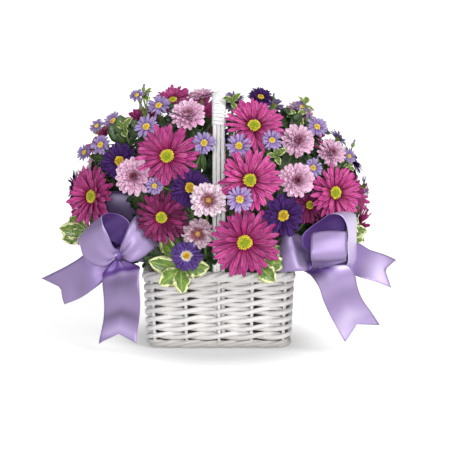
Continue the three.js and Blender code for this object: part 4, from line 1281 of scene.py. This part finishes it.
# Each bow is placed by [u, v] as seen from the front, and y, its depth. A loop or tail is a row of
# [edge, opposite edge] places along the ribbon: a loop leaves the knot at its front and comes back
# to it behind, and a tail runs from the knot to its forked end.
BOWS = {
    "bow_left": {
        "knot": (-105, 100, -78),
        "loops": {
            "loop_left": [
                [[-104.6, 104, -82], [-110.5, 94, -82]],
                [[-110.5, 107, -89], [-122, 86, -83]],
                [[-116, 119, -94], [-140, 94, -82]],
                [[-122, 132, -93], [-146, 109.5, -79]],
                [[-121, 141, -82], [-148, 115, -70]],
                [[-107, 142, -67], [-131, 119, -52]],
                [[-94, 133, -64], [-118, 110, -50]],
                [[-96, 119, -68], [-112, 102, -58]],
                [[-102, 106, -75], [-109, 97, -71]],
            ],
            "loop_right": [
                [[-104, 104, -82], [-98.7, 95.4, -82]],
                [[-101, 114, -88], [-91.6, 90.7, -87]],
                [[-95, 128, -88], [-78.7, 97, -87]],
                [[-88, 139, -82], [-67, 106, -82]],
                [[-82, 139.5, -73], [-62.5, 107.5, -73]],
                [[-85, 135, -63], [-66, 102, -62]],
                [[-93, 124, -59], [-80, 92, -61]],
                [[-101, 106, -70], [-98, 97, -70]],
            ],
            "loop_back": [
                [[-109, 103, -68], [-101, 103, -68]],
                [[-118, 116, -48], [-88, 116, -48]],
                [[-121, 138, -50], [-86, 137, -50]],
                [[-120, 156, -53], [-85, 153, -52]],
                [[-119, 165, -51], [-84, 162, -50]],
                [[-118, 157, -47], [-84, 154, -46]],
                [[-117, 138, -45], [-85, 136, -45]],
                [[-112, 114, -43], [-92, 113, -43]],
                [[-107, 100, -66], [-101, 98, -66]],
            ],
        },
        "tails": {
            "tail_side": [
                [[-108, 101, -71], [-104, 90, -71]],
                [[-134, 102, -70], [-121, 71, -76]],
                [[-150, 93, -70], [-136, 59.4, -77]],
                [[-166, 84, -64], [-149, 51.6, -72]],
                [[-185.5, 74.2, -56], [-161, 47.2, -64]],
            ],
            "tail_down": [
                [[-111, 92, -79], [-99, 93, -79]],
                [[-121, 80.5, -79], [-84, 87, -83]],
                [[-122, 72, -82], [-83, 81, -91]],
                [[-121, 59, -86], [-83, 65, -97]],
                [[-121, 46, -86], [-83, 48, -97]],
                [[-121.3, 30, -79], [-83.6, 30, -90]],
                [[-123.5, 16, -75], [-85, 16, -86]],
                [[-126, 5, -78], [-86, 5.5, -89]],
            ],
        },
    },
    "bow_right": {
        "knot": (96, 85, -78),
        "loops": {
            "loop_left": [
                [[88.5, 118, -67], [97, 85, -73]],
                [[83, 120.5, -70], [94.5, 83, -79]],
                [[78, 121, -76], [92, 82, -87]],
                [[73.5, 121, -82], [83, 81.4, -90]],
                [[68.5, 120.6, -80], [69, 80.8, -85]],
                [[66.5, 119.6, -72], [61.5, 81, -75]],
                [[72, 119, -63], [68, 82.5, -66]],
                [[84, 118, -60], [84, 83.5, -64]],
                [[89, 116, -62], [92, 86, -68]],
            ],
            "loop_front": [
                [[96.6, 86, -83], [104, 87, -81]],
                [[98, 89.5, -95], [131, 91.5, -88]],
                [[97, 93.5, -106], [133.5, 95, -97]],
                [[96.6, 100, -111], [134.3, 100.5, -100]],
                [[96.6, 111, -107], [134.3, 111.5, -97]],
                [[97, 118.5, -101], [134.3, 120, -93]],
                [[98, 121.5, -95], [133, 123, -91]],
                [[100, 118, -90], [130, 119.5, -88]],
                [[101, 109, -88], [129, 110, -85]],
                [[100, 98, -86], [125, 98, -81]],
                [[98, 90, -83], [107, 90, -80]],
            ],
            "loop_side": [
                [[104, 86, -77], [106, 88, -70]],
                [[124, 84, -75], [130, 86, -56]],
                [[135, 90, -79], [144, 91, -49]],
                [[135, 107, -82], [144.6, 107, -52]],
                [[135.5, 122, -88], [144.6, 122, -58]],
                [[133, 133.5, -94], [144.8, 133.5, -63]],
                [[127, 140.5, -95], [143.2, 141, -66]],
                [[116, 141, -91], [138.2, 143, -69]],
                [[107, 135, -86], [134, 137.5, -70]],
                [[96, 127.5, -81], [135, 129, -69]],
                [[88, 119.5, -77], [131, 118.5, -66]],
                [[87.5, 110, -74], [125, 107.5, -63]],
                [[91.5, 99, -73], [118, 98, -64]],
                [[95, 91, -74], [106, 92, -68]],
            ],
        },
        "tails": {
            "tail_side": [
                [[103, 92, -71], [103, 82, -73]],
                [[140, 112, -50], [136, 79.5, -69]],
                [[161, 103, -54], [152.8, 73.6, -72]],
                [[186.4, 93.5, -50], [181.2, 64.1, -70]],
            ],
            "tail_down": [
                [[91, 81, -84], [103, 82, -84]],
                [[97, 76, -91], [132, 88, -86]],
                [[105.6, 64, -97], [143, 78, -86]],
                [[110.5, 50, -98], [146, 66, -87]],
                [[117, 34, -92], [150.5, 52, -81]],
                [[124.5, 20.5, -88], [160, 38.5, -77]],
                [[132.9, 7.4, -91], [169.6, 25.2, -80]],
            ],
        },
    },
}
FORK_DEPTH = 11
KNOT_SIZE = vec(5.6, 5.2, 6.8)
PLEATS = 2.5
PLEAT_DEPTH = 0.9
LOOP_CROWN = 1.8  # how far a loop bulges between its edges
TAIL_CROWN = 0.8
WAVE_DEPTH = 1.8  # how far a tail waves in and out
WAVE_LENGTH = 58
GATHERED_FOR = 36  # how far from the knot the ribbon is still pleated

# How much darker a ribbon is painted than its neighbours, all over: painted shade for the ribbon
# # deep in the bow's shadow and for the left bow, which faces away from the key lamp.
RIBBON_PAINTED_SHADE = {
    "bow_left_loop_back": 0.85, "bow_left_loop_left": 0.08, "bow_left_loop_right": 0.13,
    "bow_left_tail_down": 0.2, "bow_left_tail_side": 0.15, "bow_right_tail_side": 0.08,
}

# Over which stretch from the knot a tail turns from its dull back's colour, painted shade under
# # the loops, to its bright face, and how bright it starts.
TAIL_PAINTED_SHADE_NEAR_KNOT = {
    "bow_left_tail_down": (14, 20, 0.0),
    "bow_left_tail_side": (24, 48, 0.45),
    "bow_right_tail_down": (14, 30, 0.1),
    "bow_right_tail_side": (20, 70, 0.5),
}

# Where a ribbon's folds catch or lose the light: run from the knot, place across it (-1 to 1),
# reach along and across, and how much darker (or, below 0, paler) the satin looks there.
FOLD_LIGHTS = {
    "bow_right_loop_side": ((65, 0.0, 45, 45, -0.8),),
    "bow_right_loop_front": ((27, 0.0, 4, 60, 0.55),),
    "bow_right_loop_left": ((18, -0.6, 12, 12, 0.3), (12, 0.5, 8, 8, -0.4)),
    "bow_right_tail_down": ((18, -0.9, 16, 20, 0.75), (19, 0.7, 6, 12, -0.9),
                            (52, 0.0, 12, 30, 0.25), (82, -0.4, 12, 24, -0.5),
                            (94, 1.0, 10, 12, 0.35)),
    "bow_right_tail_side": ((76, 0.5, 22, 30, -0.35),),
    "bow_left_tail_down": ((17, 0.1, 5, 24, -0.6), (33, 0.4, 8, 26, 0.25),
                           (50, 0.0, 9, 20, -0.1), (65, 0.0, 7, 40, 0.4),
                           (84, 0.0, 9, 30, -0.5), (50, 0.0, 60, 60, 0.1)),
    "bow_left_tail_side": ((50, 0.6, 14, 18, 0.25), (76, -0.3, 12, 20, 0.15)),
    "bow_left_loop_left": ((34, -0.8, 10, 10, 0.2), (22, 0.4, 10, 10, 0.12)),
}


def ribbon_tone(name, run, places, faces):
    """How dark a ribbon looks at each point: the painted shade over all of it, and the painted
    light and shade on its folds.
    """
    tone = np.full((len(run), len(places)), RIBBON_PAINTED_SHADE.get(name, 0.0))
    for at_run, at_across, long_reach, wide_reach, darker in FOLD_LIGHTS.get(name, ()):
        lengthwise = (run[:, None] - at_run) / long_reach
        sideways = (places - at_across) * RIBBON_WIDTH / 2 / wide_reach
        tone = tone + darker * np.exp(-lengthwise**2 - sideways**2) * faces
    return tone


def build_ribbon(name, edges, forked):
    """A ribbon as a thin closed sheet, pleated at the knot and forked at a tail's end."""
    pairs = np.array([[seen_at(*a), seen_at(*b)] for a, b in edges])
    strip = curve_through(pairs, 9)
    middle = strip.mean(axis=1)
    run = distance_along(middle)
    across = np.linspace(-1, 1, 15)
    if forked:
        short = 1 - FORK_DEPTH / run[-1] * (1 - np.abs(across))
    else:
        short = np.ones_like(across)
    where = run[:, None] * short
    points = np.empty((len(run), len(across), 3))
    for i, (a, share) in enumerate(zip(across, where.T)):
        edge = between(strip[:, 0], strip[:, 1], (a + 1) / 2)
        points[:, i] = np.stack([np.interp(share, run, edge[:, k]) for k in range(3)], axis=-1)
    along_way = np.gradient(points, axis=0)
    across_way = np.gradient(points, axis=1)
    normal = unit(np.cross(across_way, along_way))
    if forked:
        outward = np.sign((normal @ VIEW_BACK).mean())
    else:
        outward = np.sign(((points - middle.mean(axis=0)) * normal).sum())
    normal = normal * outward
    from_knot = where if forked else np.minimum(where, run[-1] - where)
    pleats = np.cos(across * PLEATS * math.pi) * (1 - smooth_step(0, GATHERED_FOR, from_knot))
    crown = (TAIL_CROWN if forked else LOOP_CROWN) * (1 - across**2)
    wave = WAVE_DEPTH * np.sin(where / WAVE_LENGTH * 2 * math.pi + len(name)) * forked
    wave = wave * smooth_step(0, GATHERED_FOR, from_knot)
    points = points + normal * (pleats * PLEAT_DEPTH + crown + wave)[..., None]
    thick = normal * RIBBON_THICKNESS / 2
    ring = np.concatenate([points + thick, (points - thick)[:, ::-1]], axis=1)
    faces = np.concatenate([np.ones_like(across), np.zeros_like(across)])
    places = np.concatenate([across, across[::-1]])
    if outward > 0:
        ring, faces, places = ring[:, ::-1], faces[::-1], places[::-1]
    if name.endswith("loop_back"):  # painted shade: this one takes the satin's dull back colour, deep in the bow's shadow
        faces = 1 - faces
    # Painted shade: near the knot a tail takes its dull back's colour, under the loops.
    dull_to, bright_from, start = TAIL_PAINTED_SHADE_NEAR_KNOT.get(name, (0, 1, 1))
    bright = between(start, 1, smooth_step(dull_to, bright_from, run))
    stock = Stock()
    stock.add(ring, along=run[:, None], across=places, tone=ribbon_tone(name, run, places, faces),
              part=faces * bright[:, None])
    piece = stock.piece(name, SATIN, [name], "satin_ribbon")


def build_knot(name, centre):
    """The gathered middle of a bow: a pleated puff."""
    around = np.linspace(0, 2 * math.pi, 48, endpoint=False)
    over = np.linspace(-0.48 * math.pi, 0.48 * math.pi, 15)[:, None]
    pleat = 1 + 0.035 * np.cos(over * 11 + 0.5 * np.sin(around * 2)) * np.cos(over)
    x = np.sin(over) * np.ones_like(around)
    y = np.cos(over) * np.cos(around) * pleat
    z = np.cos(over) * np.sin(around) * pleat
    grid = np.stack([x, y, z], axis=-1) * KNOT_SIZE + centre
    stock = Stock()
    # Painted shade: the knot keeps part at 0, the satin's dull back colour, and tone 0.2 darkens
    # it, deep in the bow.
    stock.add(grid, along=around * 8, across=np.linspace(-0.9, 0.9, 15)[:, None], tone=0.2)
    stock.piece(name, SATIN, [name], "satin_ribbon")


PICK_RADIUS = 1.6
PICK_FOOT = (34, -14, 84)  # where it enters the foam, on the right
WIRE_RADIUS = 0.35
WIRE_TURNS = 9
WIRE_RUN = 22  # how far down the pick the wire is wound


def build_pick(name, foot, centre):
    """A pointed wooden pick that holds the bow, with the wire that binds it."""
    towards = unit(centre - foot)
    top = centre - towards * KNOT_SIZE[0]
    line = foot + np.linspace(0, 1, 14)[:, None] * (top - foot)
    wood = Stock()
    wood.add_tube(line, np.minimum(PICK_RADIUS, 0.3 + np.linspace(0, 14, 14)), 8, 0.5)
    wood.piece(name + "_wood", PICK_WOOD, [name], "wired_pick")
    share = np.linspace(0, 1, 160)[:, None]
    side, other = carried(line)
    turn = share * 2 * math.pi * WIRE_TURNS
    wound = (top - towards * WIRE_RUN * (1 - share)
             + (side[0] * np.cos(turn) + other[0] * np.sin(turn)) * (PICK_RADIUS + WIRE_RADIUS))
    wire = Stock()
    wire.add_tube(wound, WIRE_RADIUS, 6, 0.5)
    wire.piece(name + "_wire", BARE_WIRE, slot="wired_pick")


def build_bows():
    for name, bow in BOWS.items():
        centre = seen_at(*bow["knot"])
        build_knot(f"{name}_knot", centre)
        foot = vec(*PICK_FOOT) * (math.copysign(1, centre[0]), 1, 1)
        build_pick(f"{name}_pick", foot, centre)
        for ribbons, forked in (("loops", False), ("tails", True)):
            for ribbon, edges in bow[ribbons].items():
                build_ribbon(f"{name}_{ribbon}", edges, forked)


# ------------------------------------------------------------------ making

build_base()
build_border("braided_foot")
build_wall()
build_border("braided_rim")
arch = handle_line()
build_handle_rods(arch)
build_handle_binding(arch)
for node, finish in (("liner", tray_finish()), ("floral_foam", foam_finish())):
    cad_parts[node].data.materials.clear()
    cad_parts[node].data.materials.append(finish.material)
build_fillers(build_plants())
build_greens()
build_bows()


# ------------------------------------------------------------------ studio

FLOOR_HALF = 60  # in metres
# The floor's dimmer middle, a painted contact shadow, ends between these shares of an ellipse with
# # these half-axes, in metres.
PAINTED_SHADOW_HALF_WIDTH, PAINTED_SHADOW_HALF_DEPTH = 1 / 8.4, 1 / 6.4
PAINTED_SHADOW_FROM, PAINTED_SHADOW_TO = 0.5, 1.1
PAINTED_SHADOW_GLOW = 0.36
SENSOR = 36  # the camera's, in millimetres


def build_floor():
    """Pale paper that glows as if lit through from behind; the glow is dimmer in an ellipse round
    the basket's foot, a painted contact shadow.
    """
    f = Finish("studio_paper")
    fibre = f.noise(f.place(), 60.0, 3.0)
    colour = f.mix(fibre * 0.3, paint("cbcbcc"), paint("c7c7c8"))
    across, inward = (f.node("ShaderNodeSeparateXYZ", inputs={0: f.place()}, output=axis)
                      for axis in "XY")
    spread = ((across * (1 / PAINTED_SHADOW_HALF_WIDTH))**2 + (inward * (1 / PAINTED_SHADOW_HALF_DEPTH))**2)**0.5
    # Painted contact shadow: inside the ellipse round the basket the glow falls to 0.36 of its
    # strength.
    glow = f.mix(spread.steps(PAINTED_SHADOW_FROM, PAINTED_SHADOW_TO), (*[PAINTED_SHADOW_GLOW] * 3, 1), (1, 1, 1, 1))
    f.surface(colour, 0.9, fibre, 0.05, Emission_Strength=0.66, Emission_Color=glow)
    mesh = bpy.data.meshes.new("floor")
    corners = [(-1, -1), (1, -1), (1, 1), (-1, 1)]
    mesh.from_pydata([(x * FLOOR_HALF, y * FLOOR_HALF, 0) for x, y in corners], [],
                     [(0, 1, 2, 3)])
    mesh.materials.append(f.material)
    floor = bpy.data.objects.new("floor", mesh)
    bpy.context.scene.collection.objects.link(floor)


def add_sun(name, towards, softness, strength):
    """A lamp so large and far that it lights the whole floor alike."""
    lamp = bpy.data.lights.new(name, "SUN")
    lamp.angle, lamp.energy = math.radians(softness), strength
    holder = bpy.data.objects.new(name, lamp)
    holder.rotation_euler = Vector(towards).to_track_quat("Z", "Y").to_euler()
    bpy.context.scene.collection.objects.link(holder)


def add_camera():
    lens = bpy.data.cameras.new("camera")
    camera = bpy.data.objects.new("camera", lens)
    bpy.context.scene.collection.objects.link(camera)
    camera.location = Vector(EYE * MM)
    camera.rotation_euler = Vector(-VIEW_BACK).to_track_quat("-Z", "Y").to_euler()
    lens.sensor_width = SENSOR
    lens.lens = SENSOR * DISTANCE / PICTURE_SIDE
    lens.clip_end = 100
    bpy.context.scene.camera = camera


def light_studio():
    """A white wall low down all round, dimmer above, and three soft lamps."""
    world = bpy.data.worlds.new("studio")
    world.use_nodes = True
    nodes = Nodes(world.node_tree)
    direction = nodes.node("ShaderNodeTexCoord", output="Generated")
    height = nodes.node("ShaderNodeSeparateXYZ", inputs={0: direction}, output="Z")
    glow = nodes.node("ShaderNodeMapRange", inputs={
        "Value": height, "From Min": 0.05, "From Max": 0.3, "To Min": 1.02, "To Max": 0.26})
    background = world.node_tree.nodes["Background"]
    nodes.feed(background.inputs["Color"], glow)
    bpy.context.scene.world = world
    bpy.context.scene.view_settings.view_transform = "Standard"
    add_sun("key", (1.0, -0.95, 0.85), 30, 1.85)
    add_sun("front", (0.0, -1.0, 0.16), 12, 1.5)
    add_sun("top", (0.1, 0.1, 1.0), 50, 0.7)


build_floor()
light_studio()
add_camera()
